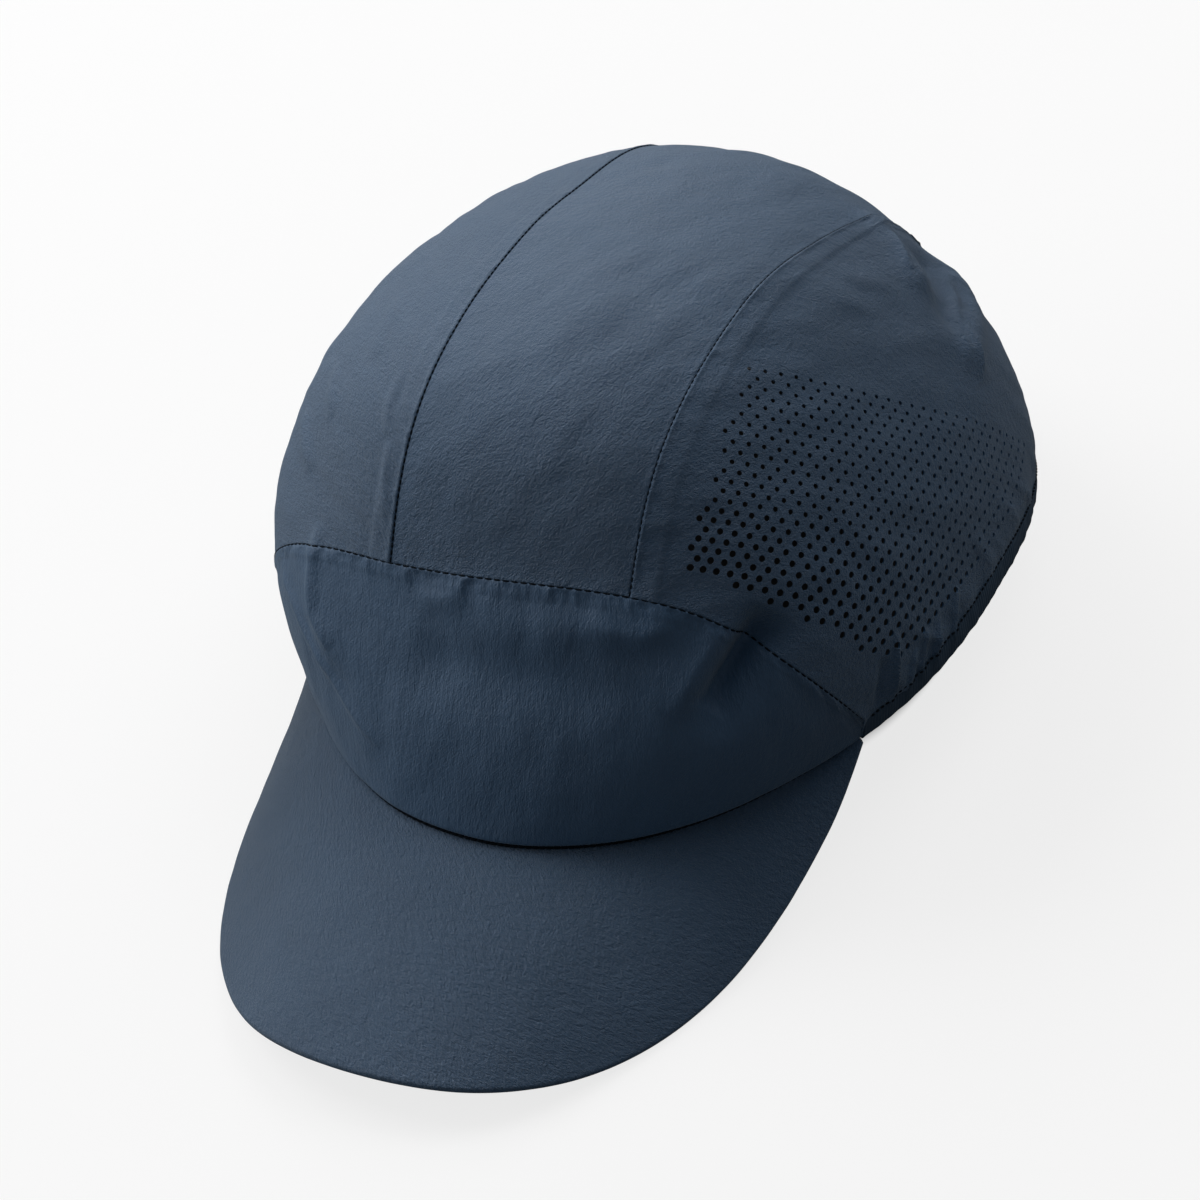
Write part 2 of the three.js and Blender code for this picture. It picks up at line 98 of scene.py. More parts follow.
camera_data = bpy.data.cameras.new("camera")
camera = bpy.data.objects.new("camera", camera_data)
bpy.context.scene.collection.objects.link(camera)
camera_data.sensor_width = SENSOR
camera_data.lens = PIXELS_PER_MM * CAMERA_DISTANCE * SENSOR / PHOTO_SIDE
camera_data.shift_x = 0.5 - OPTICAL_CENTRE[0] / PHOTO_SIDE
camera_data.shift_y = OPTICAL_CENTRE[1] / PHOTO_SIDE - 0.5
turned = TILT @ np.column_stack([right, up, backwards])
place = TILT @ (backwards * CAMERA_DISTANCE) + REST_SHIFT
camera.matrix_world = Matrix.Translation(Vector(place * MM)) @ Matrix(turned.tolist()).to_4x4()
bpy.context.scene.camera = camera
bpy.context.scene.view_settings.view_transform = "Standard"
camera_spot = tuple(round(x, 3) for x in camera.location)
print("lens", round(camera_data.lens, 1), "mm, camera at", camera_spot)

# %% [markdown]
# ## Floor and light
# The cap lies on a pale sweep. Broad lamps at the picture's left and behind the cap light the
# crown's top and that side of it, and hardly any light comes from the front, so the forehead
# panel stays dark. The paper is lit far brighter than the cap in the photograph, which would
# need flags and a second set of lamps. Here the paper and the backdrop glow to the camera
# alone, and only the cap's own soft shadow is left on the paper. A faint even light from all
# round keeps the folds from going black. Under the crown the paper doesn't glow and its colour
# is painted half as pale, a painted shadow under the cap, so that the holes show dark. That
# painted shadow fades out early towards the visor and towards the wearer's right.

# %% Make the floor
FLOOR_SIDE = 8.0
PAPER_GREY = 0.17
PAPER_GLOW = 0.785
PAPER_SHADE = 0.5
CROWN_FOOT = (0.006, 0.055)
CROWN_FOOT_HALF = (0.062, 0.070)
CROWN_FOOT_FADE = (0.8, 1.0)
OVAL_POWER = 3.0
RIGHT_FADE = (-1.0, -0.45)
FRONT_FADE = (-1.0, -0.24)
WHITE = (1, 1, 1, 1)
PAPER_FINISH = {"Roughness": 0.9, "Specular IOR Level": 0.1, "Emission Color": WHITE}


def set_inputs(node, values):
    """Sets a node's sockets by their names."""
    for socket, value in values.items():
        node.inputs[socket].default_value = value


def math_node(group, operation, first, second):
    """A math node with each input linked to a socket or set to a number."""
    node = group.nodes.new("ShaderNodeMath")
    node.operation = operation
    for socket, value in zip(node.inputs, (first, second)):
        if isinstance(value, bpy.types.NodeSocket):
            group.links.new(value, socket)
        else:
            socket.default_value = value
    return node.outputs["Value"]


def camera_only(tree, strength):
    """A value that is strength for what the camera sees itself, and nothing for bounced light."""
    path = tree.nodes.new("ShaderNodeLightPath")
    return math_node(tree, "MULTIPLY", path.outputs["Is Camera Ray"], strength)


def fade_in(tree, value, low, high):
    """A smooth rise from zero at low to one at high."""
    fade = tree.nodes.new("ShaderNodeMapRange")
    fade.interpolation_type = "SMOOTHSTEP"
    set_inputs(fade, {"From Min": low, "From Max": high})
    tree.links.new(value, fade.inputs["Value"])
    return fade.outputs["Result"]


def round_the_cap(tree):
    """One on the open paper, fading to nothing in a squarish oval of painted shade under the crown.
    """
    coordinates = tree.nodes.new("ShaderNodeTexCoord")
    oval = tree.nodes.new("ShaderNodeMapping")
    oval.vector_type = "TEXTURE"
    set_inputs(oval, {"Location": (*CROWN_FOOT, 0), "Scale": (*CROWN_FOOT_HALF, 1)})
    tree.links.new(coordinates.outputs["Object"], oval.inputs["Vector"])
    axes = tree.nodes.new("ShaderNodeSeparateXYZ")
    tree.links.new(oval.outputs["Vector"], axes.inputs["Vector"])
    distance = 0.0
    for axis in "XY":
        share = math_node(tree, "ABSOLUTE", axes.outputs[axis], 0.0)
        distance = math_node(tree, "ADD", distance, math_node(tree, "POWER", share, OVAL_POWER))
    shade = math_node(tree, "SUBTRACT", 1.0, fade_in(tree, distance, *CROWN_FOOT_FADE))
    for axis, (low, high) in (("X", RIGHT_FADE), ("Y", FRONT_FADE)):
        shade = math_node(tree, "MULTIPLY", shade, fade_in(tree, axes.outputs[axis], low, high))
    return math_node(tree, "SUBTRACT", 1.0, shade)


bpy.ops.mesh.primitive_plane_add(size=FLOOR_SIDE)
floor = bpy.context.object
floor.name = "floor"
paper = bpy.data.materials.new("paper")
paper.use_nodes = True
paper_tree = paper.node_tree
paper_shader = paper_tree.nodes["Principled BSDF"]
# Under the crown the paper's colour is halved and its glow taken away: a painted shadow under the
# cap.
open_paper = round_the_cap(paper_tree)
shaded_paper = math_node(paper_tree, "MAXIMUM", open_paper, PAPER_SHADE)
grey = math_node(paper_tree, "MULTIPLY", shaded_paper, PAPER_GREY)
paper_tree.links.new(grey, paper_shader.inputs["Base Color"])
set_inputs(paper_shader, PAPER_FINISH)
glow = math_node(paper_tree, "MULTIPLY", open_paper, PAPER_GLOW)
paper_tree.links.new(camera_only(paper_tree, glow), paper_shader.inputs["Emission Strength"])
floor.data.materials.append(paper)

# %% Light the scene
SUBJECT = Vector((0.0, 0.0, 0.05))
LAMP_DISTANCE = 1.8
LAMPS = (
    # name, azimuth and elevation in degrees (azimuth 0 is before the visor), size, power
    ("low_left_lamp", -62, 20, 1.0, 6.5),
    ("left_lamp", -98, 41, 1.1, 20.0),
    ("back_left_lamp", -142, 22, 1.0, 10.0),
    ("back_lamp", 165, 50, 1.2, 11.0),
)
WORLD_GLOW = 0.9
WORLD_FILL = 0.15


def add_lamp(name, azimuth, elevation, size, power):
    """Aims a square lamp at the cap from a direction."""
    lamp_data = bpy.data.lights.new(name, "AREA")
    lamp_data.size = size
    lamp_data.energy = power
    lamp = bpy.data.objects.new(name, lamp_data)
    bpy.context.scene.collection.objects.link(lamp)
    a = math.radians(azimuth)
    e = math.radians(elevation)
    away = Vector((math.sin(a) * math.cos(e), -math.cos(a) * math.cos(e), math.sin(e)))
    lamp.location = SUBJECT + away * LAMP_DISTANCE
    lamp.rotation_euler = away.to_track_quat("Z", "Y").to_euler()


for lamp_row in LAMPS:
    add_lamp(*lamp_row)
world = bpy.context.scene.world or bpy.data.worlds.new("world")
bpy.context.scene.world = world
world.use_nodes = True
sky = world.node_tree.nodes["Background"]
sky.inputs["Color"].default_value = WHITE
seen_glow = camera_only(world.node_tree, WORLD_GLOW - WORLD_FILL)
world.node_tree.links.new(
    math_node(world.node_tree, "ADD", seen_glow, WORLD_FILL), sky.inputs["Strength"]
)

# %% [markdown]
# ## The form of the crown
# A soft crown has no flat sides to draw on, so it is described from a point inside the head:
# for each direction, how far away the cloth is. A short table gives that distance at a few
# heights for the front, the side, the back and the quarters between, and smooth curves run
# through the values. `lean` is added on the wearer's left and taken off on the right.

# %% Crown table and smooth curves
CROWN_ROWS = (
    # elevation, then front, front quarter, side, back quarter, back and lean
    (-15, 97.5, 82.5, 82.5, 91.5, 104.5, -2.0),
    (5, 85.5, 85.5, 81.0, 94.0, 98.5, -3.5),
    (25, 79.5, 84.0, 82.0, 91.0, 93.5, -3.5),
    (45, 85.0, 84.5, 81.5, 86.5, 91.0, -2.5),
    (65, 84.5, 82.5, 81.5, 82.0, 84.0, 0.5),
)
CROWN_TOP = 81.0


def smooth_curve(places, values):
    """A natural cubic curve through one value, or one row of values, for each place."""
    places = np.asarray(places, float)
    values = np.asarray(values, float).reshape(len(places), -1)
    step = np.diff(places)
    slope = np.diff(values, axis=0) / step[:, None]
    system = np.eye(len(places))
    turn = np.zeros_like(values)
    for i in range(1, len(places) - 1):
        system[i, i - 1:i + 2] = step[i - 1], 2 * (step[i - 1] + step[i]), step[i]
        turn[i] = 6 * (slope[i] - slope[i - 1])
    bend = np.linalg.solve(system, turn)

    def at(place):
        place = np.asarray(place, float)
        i = np.clip(np.searchsorted(places, place) - 1, 0, len(step) - 1)
        b = ((place - places[i]) / step[i])[..., None]
        a = 1 - b
        curved = ((a**3 - a) * bend[i] + (b**3 - b) * bend[i + 1]) * step[i][..., None] ** 2 / 6
        return a * values[i] + b * values[i + 1] + curved

    return at


def over_the_top(rows):
    """Carries the table over the crown's top and down the other side, where front is back."""
    top = [(90, *[CROWN_TOP] * 5, 0.0)]
    other_side = [(180 - row[0], *row[5:0:-1], -row[6]) for row in reversed(rows)]
    return np.array([*rows, *top, *other_side], float)


crown_table = over_the_top(CROWN_ROWS)
crown_columns = smooth_curve(crown_table[:, 0], crown_table[:, 1:])

# %% Distance to the cloth in any direction
ROUND_STOPS = 5


def round_the_head(values, azimuth):
    """A smooth even curve round the head through five values, 45 degrees apart from the front."""
    last = ROUND_STOPS - 1
    share = np.array([0.5, 1, 1, 1, 0.5])
    waves = np.arange(ROUND_STOPS)
    mix = np.cos(np.outer(waves, waves) * math.pi / last) * np.outer(share, share) * 2 / last
    cosines = np.cos(azimuth[..., None] * waves)
    return np.einsum("...w,wi,...i->...", cosines, mix, values)


def direction(azimuth, elevation):
    """The unit vector for an azimuth and elevation in degrees."""
    a = np.radians(azimuth)
    e = np.radians(elevation)
    return np.stack([np.sin(a) * np.cos(e), -np.cos(a) * np.cos(e), np.sin(e) + 0 * a], -1)


def azimuth_of(way):
    return np.degrees(np.arctan2(way[..., 0], -way[..., 1]))


def elevation_of(way):
    return np.degrees(np.arcsin(np.clip(way[..., 2], -1, 1)))


def crown_radius(way):
    """How far the smooth crown is from the head's centre, in millimetres."""
    azimuth = np.radians(azimuth_of(way))
    columns = crown_columns(elevation_of(way))
    return round_the_head(columns[..., :ROUND_STOPS], azimuth) + columns[..., -1] * np.sin(azimuth)


print("crown radius at the forehead", crown_radius(direction(np.zeros(1), np.full(1, 20.0))))

# %% [markdown]
# ## Seams and rim
# The panels meet in four seams: one that climbs from a visor corner over the forehead to the
# other, two long ones over the head, and a short one low at the back. Each is a curve of
# directions, so two panels that share a seam share it exactly. The opening's rim is a height
# round the head, and it is turned into an elevation by closing in on it step by step.

# %% Seam and rim sizes
FRONT_SEAM_ROWS = (
    (-63.5, -6.0),
    (-45.0, 13.5),
    (-22.0, 23.0),
    (0.0, 26.5),
    (22.0, 26.5),
    (45.0, 16.5),
    (63.5, -6.0),
)
RIM_HEIGHTS = np.array([-0.5, 1.5, 12.0, 12.0, 0.0])
STRIP_HALF_WIDTHS = {1: (31.0, 33.0), -1: (25.0, 27.0)}
STRIP_REACH = 90.0
BACK_SEAM_ELEVATION = 27.0
VISOR_CORNER_AZIMUTH = 63.5
CLOSING_IN = 14
RIM_FIRST_GUESS = -12.0

front_seam_table = np.array(FRONT_SEAM_ROWS)
front_seam_curve = smooth_curve(front_seam_table[:, 0], front_seam_table[:, 1])


def front_seam_elevation(azimuth):
    return front_seam_curve(azimuth)[..., 0]


def rim_elevation(azimuth):
    """The rim's elevation, closed in on from its height round the head."""
    azimuth = np.asarray(azimuth, float)
    height = round_the_head(RIM_HEIGHTS, np.radians(azimuth)) - HEAD_CENTRE[2]
    elevation = np.full(azimuth.shape, RIM_FIRST_GUESS)
    for _ in range(CLOSING_IN):
        elevation = np.degrees(np.arcsin(height / crown_radius(direction(azimuth, elevation))))
    return elevation


def over_rim(azimuth, distance):
    """The elevation of a line that runs a distance above the rim."""
    elevation = rim_elevation(azimuth)
    return elevation + np.degrees(distance / crown_radius(direction(azimuth, elevation)))


def long_seam(side, over):
    """Directions along a long seam, by the angle over the head: 0 is the front and 180 the back."""
    front, back = STRIP_HALF_WIDTHS[side]
    turn = np.radians(over)
    out = np.full(np.shape(over), side * front / CROWN_TOP)
    for _ in range(CLOSING_IN):
        way = np.stack([
            np.sin(out),
            -np.cos(turn) * np.cos(out),
            np.sin(turn) * np.cos(out),
        ], -1)
        radius = crown_radius(way)
        along = np.clip((radius * way[..., 1] + STRIP_REACH) / (2 * STRIP_REACH), 0, 1)
        half = front + (back - front) * along
        out = (out + np.arcsin(side * half / radius)) / 2
    return way


# %% Where the seams meet
TAPE_HEIGHT = 6.5
CLOTH_HEM = 1.2
HALVINGS = 30
FRONT_SEARCH = (5, 80)
BACK_SEARCH = (110, 180)
HEM_SEARCH = (150, 200)


def crossing(low, high, measure):
    """The place between low and high where a rising measure passes zero."""
    for _ in range(HALVINGS):
        middle = (low + high) / 2
        if measure(np.array([middle]))[0] < 0:
            low = middle
        else:
            high = middle
    return (low + high) / 2


def seam_stops(side):
    """Where a long seam meets the front seam, the back seam and the hem in the tape."""

    def past_front(over):
        way = long_seam(side, over)
        return elevation_of(way) - front_seam_elevation(azimuth_of(way))

    def past_back(over):
        return BACK_SEAM_ELEVATION - elevation_of(long_seam(side, over))

    def past_hem(over):
        way = long_seam(side, over)
        return over_rim(azimuth_of(way), CLOTH_HEM) - elevation_of(way)

    return {
        "front": crossing(*FRONT_SEARCH, past_front),
        "back": crossing(*BACK_SEARCH, past_back),
        "hem": crossing(*HEM_SEARCH, past_hem),
    }


stops = {side: seam_stops(side) for side in (1, -1)}
print("long seams run over", stops)


def lerp(start, end, share):
    return start + (end - start) * share


def back_seam(share):
    """The back seam from the right long seam to the left one."""
    right_end = azimuth_of(long_seam(-1, np.array([stops[-1]["back"]])))[0] + 360
    left_end = azimuth_of(long_seam(1, np.array([stops[1]["back"]])))[0]
    return direction(lerp(right_end, left_end, share), np.full(share.shape, BACK_SEAM_ELEVATION))


# %% [markdown]
# ## Folds and dents
# The cloth hangs loose in places: a deep dent where the forehead panel has sunk in by the
# wearer's left temple, soft puffs under the front seam, a ridge and a crease by the other
# temple, and folds where the crown slumps at the back. Each is a line across the cloth with a
# height and a width, a ridge where the height is positive and a hollow where it is negative.
# The folds are broad. The creases are narrower, most of them a millimetre or two wide, and they
# fade at both ends. Five of them run up from the tape behind the left temple.

# %% Fold table
FOLD_RADIUS = 88.0
FOLDS = (
    # name, the azimuth and elevation of its places, height, width
    ("temple dent", ((47, 17), (43, 12), (38, 7)), -3.2, 6.0),
    ("forehead puff", ((-4, 21), (3, 20)), 1.4, 8.0),
    ("left forehead puff", ((13, 21), (28, 21)), 1.1, 6.0),
    ("forehead hollow", ((-8, 11), (24, 12)), -1.2, 7.0),
    ("right temple ridge", ((-35, 17), (-27, 6)), 0.9, 5.0),
    ("top back fold", ((146, 44), (132, 40)), 1.8, 5.0),
    ("back fold", ((148, 24), (123, 28)), 1.8, 5.0),
    ("back hollow", ((143, 33), (130, 33)), -2.2, 6.0),
)
CREASES = (
    (
        "right temple line",
        ((-44, 9), (-38, 7.5), (-34, 5.5), (-27.5, 2.5), (-21.5, -1), (-15, -4)), 0.9, 1.3,
    ),
    ("right temple fold", ((-37, 22), (-34.5, 15), (-32, 10), (-27, 6.5)), 1.3, 2.0),
    ("forehead diagonal", ((-4, 24.5), (-8, 21.5), (-13, 20)), 0.6, 2.8),
    ("forehead diagonal shade", ((0, 22), (-6, 18), (-12, 17)), -0.3, 3.4),
    ("left puff lip", ((17, 21.5), (27, 19.6), (33, 21.5)), 0.5, 2.4),
    ("left puff shade", ((15, 18), (27, 16), (34, 18)), -0.4, 3.4),
    ("dent ridge", ((40, 19.5), (35.5, 13), (31, 7)), 1.3, 3.2),
    ("dent core", ((49, 20.5), (42, 13), (36.5, 6.5)), -5.0, 3.6),
    ("top back crease", ((143, 43.5), (132, 42)), 0.7, 1.2),
    ("back crease", ((141, 29), (129.5, 31), (119.5, 25)), 0.9, 1.2),
    ("second back crease", ((131, 32.5), (118.5, 29)), 0.6, 1.1),
    ("back notch", ((144, 27), (133, 27.5)), -1.3, 2.6),
    ("right side fold", ((-59, 39), (-47, 35)), 0.8, 1.8),
    ("fold beside the right seam", ((-37, 49), (-34, 45), (-29, 40.5)), 0.7, 1.5),
    ("low fold beside the right seam", ((-28, 40), (-22.5, 29)), 0.5, 1.5),
    ("low right side fold", ((-59, 29), (-46, 26)), 0.8, 1.8),
    ("right side wave", ((-70, 52), (-48, 46)), 0.6, 3.0),
    ("crease over the tape", ((69.5, -6), (70.5, -1), (72, 7)), 1.5, 0.9),
    ("hollow beside it", ((66.5, -5), (68.5, 4)), -1.3, 1.6),
    ("second crease over the tape", ((73.5, -6), (76.5, 1)), 1.1, 0.9),
    ("third crease over the tape", ((77, -5), (79.5, 3)), 1.0, 0.9),
    ("fourth crease over the tape", ((80.5, -5), (83.5, 3)), 1.1, 0.9),
    ("fifth crease over the tape", ((86, -4), (89.5, 5)), 1.0, 1.0),
    ("centre wave", ((-14, 44), (2, 34)), 0.5, 5.0),
    ("second centre wave", ((6, 58), (14, 44)), 0.45, 5.0),
)


def line_distance(place, stops):
    """How far places are from a line of directions, and the nearest share of the line's length."""
    ends = direction(np.array(stops, float)[:, 0], np.array(stops, float)[:, 1]) * FOLD_RADIUS
    lengths = np.linalg.norm(np.diff(ends, axis=0), axis=1)
    before = np.concatenate([[0], np.cumsum(lengths)])
    nearest = np.full(place.shape[:-1], np.inf)
    share = np.zeros(place.shape[:-1])
    for first, last, length, run in zip(ends, ends[1:], lengths, before):
        line = last - first
        part = np.clip(((place - first) @ line) / (line @ line), 0, 1)
        apart = np.linalg.norm(place - first - part[..., None] * line, axis=-1)
        share = np.where(apart < nearest, (run + part * length) / before[-1], share)
        nearest = np.minimum(nearest, apart)
    return nearest, share


def fold_height(way):
    """The height of all the folds and creases at some directions, in millimetres."""
    place = way * FOLD_RADIUS
    height = np.zeros(way.shape[:-1])
    for _, stops, tall, width in FOLDS:
        apart, _ = line_distance(place, stops)
        height += tall * np.exp(-((apart / width) ** 2))
    for _, stops, tall, width in CREASES:
        apart, share = line_distance(place, stops)
        ends = np.sin(math.pi * np.clip(share, 0, 1)) ** 0.5
        height += tall * np.exp(-((apart / width) ** 2)) * ends
    return height


def rumple(points, size, seed):
    """Smooth noise between about -1 and 1 that changes over a distance of size."""
    spots = points.reshape(-1, 3) / size + seed
    values = [noise.noise(Vector(spot)) for spot in spots]
    return np.array(values).reshape(points.shape[:-1])


# %% How the cloth drapes
SLUMP = 0.55
SLUMP_SIZE = 26.0
SLUMP_SEED = 7


def drape(way):
    """Height of the draped cloth over the smooth crown, alike on both sides of every seam."""
    place = way * crown_radius(way)[..., None]
    return fold_height(way) + SLUMP * rumple(place, SLUMP_SIZE, SLUMP_SEED)


# %% [markdown]
# ## One cloth panel
# A panel could be cut from a ball, but then its grain would not follow its seams. Here it is a
# flat grid whose four edges are the panel's four seams. Near a seam the grid's rows lie close
# together, because the cloth there rolls over and dives into the seam. The grid gets its wall
# from a Solidify modifier, and then both skins are moved to where the cloth is, as in
# sculpting. Its UV map is laid out in millimetres of cloth, so that every weave and wrinkle
# pattern has its true size and follows the grain.

# %% Stops across a panel
SEAM_ALLOWANCE = 1.2
ROLL_SHARES = (0.0, 0.08, 0.22, 0.45, 0.75, 1.15)
LIP_STOPS = (0.2, 0.45, 0.75)
CLOTH_WALL = 0.45


def edge_stops(roll):
    """Distances from an edge: the turned-in allowance, the roll and the lip beside it."""
    rolled = [roll * share for share in ROLL_SHARES]
    return [-SEAM_ALLOWANCE, *rolled, *[rolled[-1] + stop for stop in LIP_STOPS]]


def panel_stops(length, spacing, rolls):
    """Places across a panel of this length: shares of it, and how far each is turned in."""
    first, last = (edge_stops(roll) if roll else [0.0] for roll in rolls)
    count = max(round((length - first[-1] - last[-1]) / spacing), 2)
    middle = np.linspace(first[-1], length - last[-1], count + 1)
    places = np.array([*first[:-1], *middle, *[length - stop for stop in reversed(last[:-1])]])
    turned_in = np.maximum(np.maximum(-places, places - length), 0)
    return np.clip(places / length, 0, 1), turned_in


def patch(bottom, top, left, right, across, upwards):
    """A grid of directions between four edge curves, blended from them."""
    u = across[None, :, None]
    v = upwards[:, None, None]
    ends = np.array([0.0, 1.0])
    low = bottom(ends)
    high = top(ends)
    way = bottom(across)[None] * (1 - v) + top(across)[None] * v
    way = way + left(upwards)[:, None] * (1 - u) + right(upwards)[:, None] * u
    way = way - low[0] * (1 - u) * (1 - v) - low[1] * u * (1 - v)
    way = way - high[0] * (1 - u) * v - high[1] * u * v
    return way / np.linalg.norm(way, axis=-1, keepdims=True)


def lengths_along(points, axis):
    """Distance run along one axis of a grid of points, from its first row or column."""
    steps = np.linalg.norm(np.diff(points, axis=axis), axis=-1)
    pad = [(0, 0), (0, 0)]
    pad[axis] = (1, 0)
    return np.cumsum(np.pad(steps, pad), axis=axis)


# %% Grid, wall and cloth map
SHORTEST_NORMAL = 1e-9
FIRST_WALL = 0.1


def skin_normals(points):
    """Unit normals of a grid of points, out of the cloth when columns and rows are right-handed."""
    across = np.gradient(points, axis=1)
    upwards = np.gradient(points, axis=0)
    normal = np.cross(across, upwards)
    length = np.linalg.norm(normal, axis=-1, keepdims=True)
    return normal / np.maximum(length, SHORTEST_NORMAL)


def walled_grid(name, outer, inner, across_mm, upwards_mm):
    """A grid primitive given a wall and moved so that its two skins lie on these points."""
    rows, columns = outer.shape[:2]
    bpy.ops.object.select_all(action="DESELECT")
    bpy.ops.mesh.primitive_grid_add(x_subdivisions=columns - 1, y_subdivisions=rows - 1, size=1)
    piece = bpy.context.object
    piece.name = name
    piece.data.name = name
    wall = piece.modifiers.new("wall", "SOLIDIFY")
    wall.thickness = FIRST_WALL
    bpy.ops.object.modifier_apply(modifier=wall.name)
    skins = np.concatenate([lay(outer).reshape(-1, 3), lay(inner).reshape(-1, 3)])
    piece.data.vertices.foreach_set("co", skins.astype(np.float32).ravel())
    cloth_map = piece.data.uv_layers[0]
    cloth_map.name = "cloth_mm"
    corners = np.empty(len(piece.data.loops), int)
    piece.data.loops.foreach_get("vertex_index", corners)
    spot = np.stack([across_mm, upwards_mm], -1).reshape(-1, 2)[corners % (rows * columns)]
    cloth_map.data.foreach_set("uv", spot.astype(np.float32).ravel())
    piece.data.update()
    return piece


# %% [markdown]
# A seam in thin cloth shows four things: the cloth rolls over and dives into it, the allowance
# behind it makes a band a few millimetres wide stand up a little, the thread draws the cloth
# into fine ticks beside it, and broader puckers fade away from it. All of them depend only on
# how far a point is from the seam and how far along it, so one function gives them for every
# panel, from a short list of sizes for each kind of seam. Over the tape, which is sewn on
# stretched, narrow crests take the place of the waves.

# %% Relief beside a seam
PLAIN_SEAM = {
    "roll": 0.3, "lip": 0.05, "band": 6.0, "band_height": 0.0, "held": 0.8,
    "tick_pitch": 1.5, "tick": 0.08, "tick_fade": 1.8, "pitch": 5.0, "pucker": 0.3, "fade": 6.0,
    "crest": 0.0,
}
BAND_SEAM = {
    **PLAIN_SEAM, "lip": 0.18, "band_height": 0.25,
    "tick": 0.34, "tick_fade": 2.6, "pucker": 0.4,
}
FRONT_BAND_SEAM = {
    **BAND_SEAM, "lip": 0.05, "band": 3.0, "band_height": 0.2,
    "tick": 0.6, "tick_fade": 3.2, "pucker": 0.55,
}
VISOR_JOINT = {**PLAIN_SEAM, "roll": 1.4, "lip": 0.0, "tick": 0.0, "pucker": 0.15}
TAPE_HEM = {
    **PLAIN_SEAM, "roll": 0.0, "lip": 0.0, "held": 6.5, "crest": 0.14,
    "tick_pitch": 7.0, "tick": 0.6, "tick_fade": 10.0, "pitch": 14.0, "pucker": 1.0, "fade": 14.0,
}
LIP_PLACE = 0.55
LIP_WIDTH = 0.4
BAND_EDGE = (-0.5, 0.7)
WAVE_STRETCH = 3


def smooth_step(low, high, value):
    share = np.clip((value - low) / (high - low), 0, 1)
    return share * share * (3 - 2 * share)


def seam_relief(apart, along, seam, seed):
    """Height beside a seam, from the distance to it and along it, in millimetres."""
    roll = seam["roll"]
    inside = np.clip(roll - apart, 0, roll)
    height = np.sqrt(roll**2 - inside**2) - roll
    height += seam["lip"] * np.exp(-(((apart - LIP_PLACE) / LIP_WIDTH) ** 2))
    band_start, band_end = (seam["band"] + edge for edge in BAND_EDGE)
    height += seam["band_height"] * (1 - smooth_step(band_start, band_end, apart))
    free = 1 - np.exp(-((apart / seam["held"]) ** 2))
    for pitch, tall, fade in (
        (seam["tick_pitch"], seam["tick"], seam["tick_fade"]),
        (seam["pitch"], seam["pucker"], seam["fade"]),
    ):
        line = np.stack([along / pitch, apart / (WAVE_STRETCH * pitch), 0 * along], -1)
        waves = rumple(line, 1.0, seed + pitch)
        if seam["crest"]:
            waves = np.exp(-((waves / seam["crest"]) ** 2))
        height += waves * tall * free * np.exp(-((apart / fade) ** 2))
    return height


def grid_area(points):
    """The area of a grid of points in millimetres, in square metres."""
    cells = np.cross(np.gradient(points, axis=1), np.gradient(points, axis=0))
    return np.linalg.norm(cells, axis=-1)[:-1, :-1].sum() * MM * MM


# %% Make one panel
RIPPLES = (
    # width, length and height in millimetres
    (8.0, 13.0, 0.42),
    (3.6, 6.0, 0.13),
)
RIPPLE_FREE = 5.0
SEED_STEP = 10


def make_panel(name, edges, sizes, spacing, seams, grain, seed):
    """Builds one cloth panel between its edge curves, with relief beside each of its seams."""
    side_rolls = [seams[edge]["roll"] for edge in ("left", "right")]
    end_rolls = [seams[edge]["roll"] for edge in ("bottom", "top")]
    across, turned_across = panel_stops(sizes[0], spacing[0], side_rolls)
    upwards, turned_up = panel_stops(sizes[1], spacing[1], end_rolls)
    way = patch(*edges, across, upwards)
    smooth = way * crown_radius(way)[..., None]
    run_across = lengths_along(smooth, 1)
    run_up = lengths_along(smooth, 0)
    distance = {
        "left": run_across,
        "right": run_across[:, -1:] - run_across,
        "bottom": run_up,
        "top": run_up[-1:] - run_up,
    }
    along = {"left": run_up, "right": run_up, "bottom": run_across, "top": run_across}
    c = math.cos(math.radians(grain))
    s = math.sin(math.radians(grain))
    over_grain = run_across * c - run_up * s
    with_grain = run_across * s + run_up * c
    nearest = np.minimum.reduce(list(distance.values()))
    rippled = 1 - np.exp(-((nearest / RIPPLE_FREE) ** 2))
    height = drape(way)
    for wide, long, tall in RIPPLES:
        line = np.stack([over_grain / wide, with_grain / long, 0 * run_up], -1)
        height += tall * rumple(line, 1.0, seed + wide) * rippled
    for k, edge in enumerate(distance):
        height += seam_relief(distance[edge], along[edge], seams[edge], seed + SEED_STEP * (k + 1))
    height -= np.maximum(turned_across[None, :], turned_up[:, None])
    outer = way * (crown_radius(way) + height)[..., None]
    inner = outer - skin_normals(outer) * CLOTH_WALL
    piece = walled_grid(name, outer + HEAD_CENTRE, inner + HEAD_CENTRE, run_across, run_up)
    flat = (run_across[:, -1].max() * MM, run_up[-1].max() * MM)
    cut_size = " by ".join(f"{side:.3f}" for side in flat)
    print(name, "is cut", cut_size, "m,", len(piece.data.polygons), "faces")
    return piece, flat, grid_area(smooth)


# %% [markdown]
# ## The five panels
# Each panel states its four edge curves, its rough width and height, and what kind of seam runs
# along each edge. The front and back seams' allowances are pressed down behind the forehead and
# back panels, and the long seams' to the sides, so those edges have the raised band.

# %% Forehead panel
panels = {}


def front_azimuth(share):
    return lerp(-VISOR_CORNER_AZIMUTH, VISOR_CORNER_AZIMUTH, share)


def short_front_end(azimuth):
    """The short edge at a visor corner, from the rim up to the front seam."""

    def edge(share):
        low = rim_elevation(np.array([azimuth]))
        high = front_seam_elevation(np.array([azimuth]))
        return direction(np.full(share.shape, azimuth), lerp(low, high, share))

    return edge


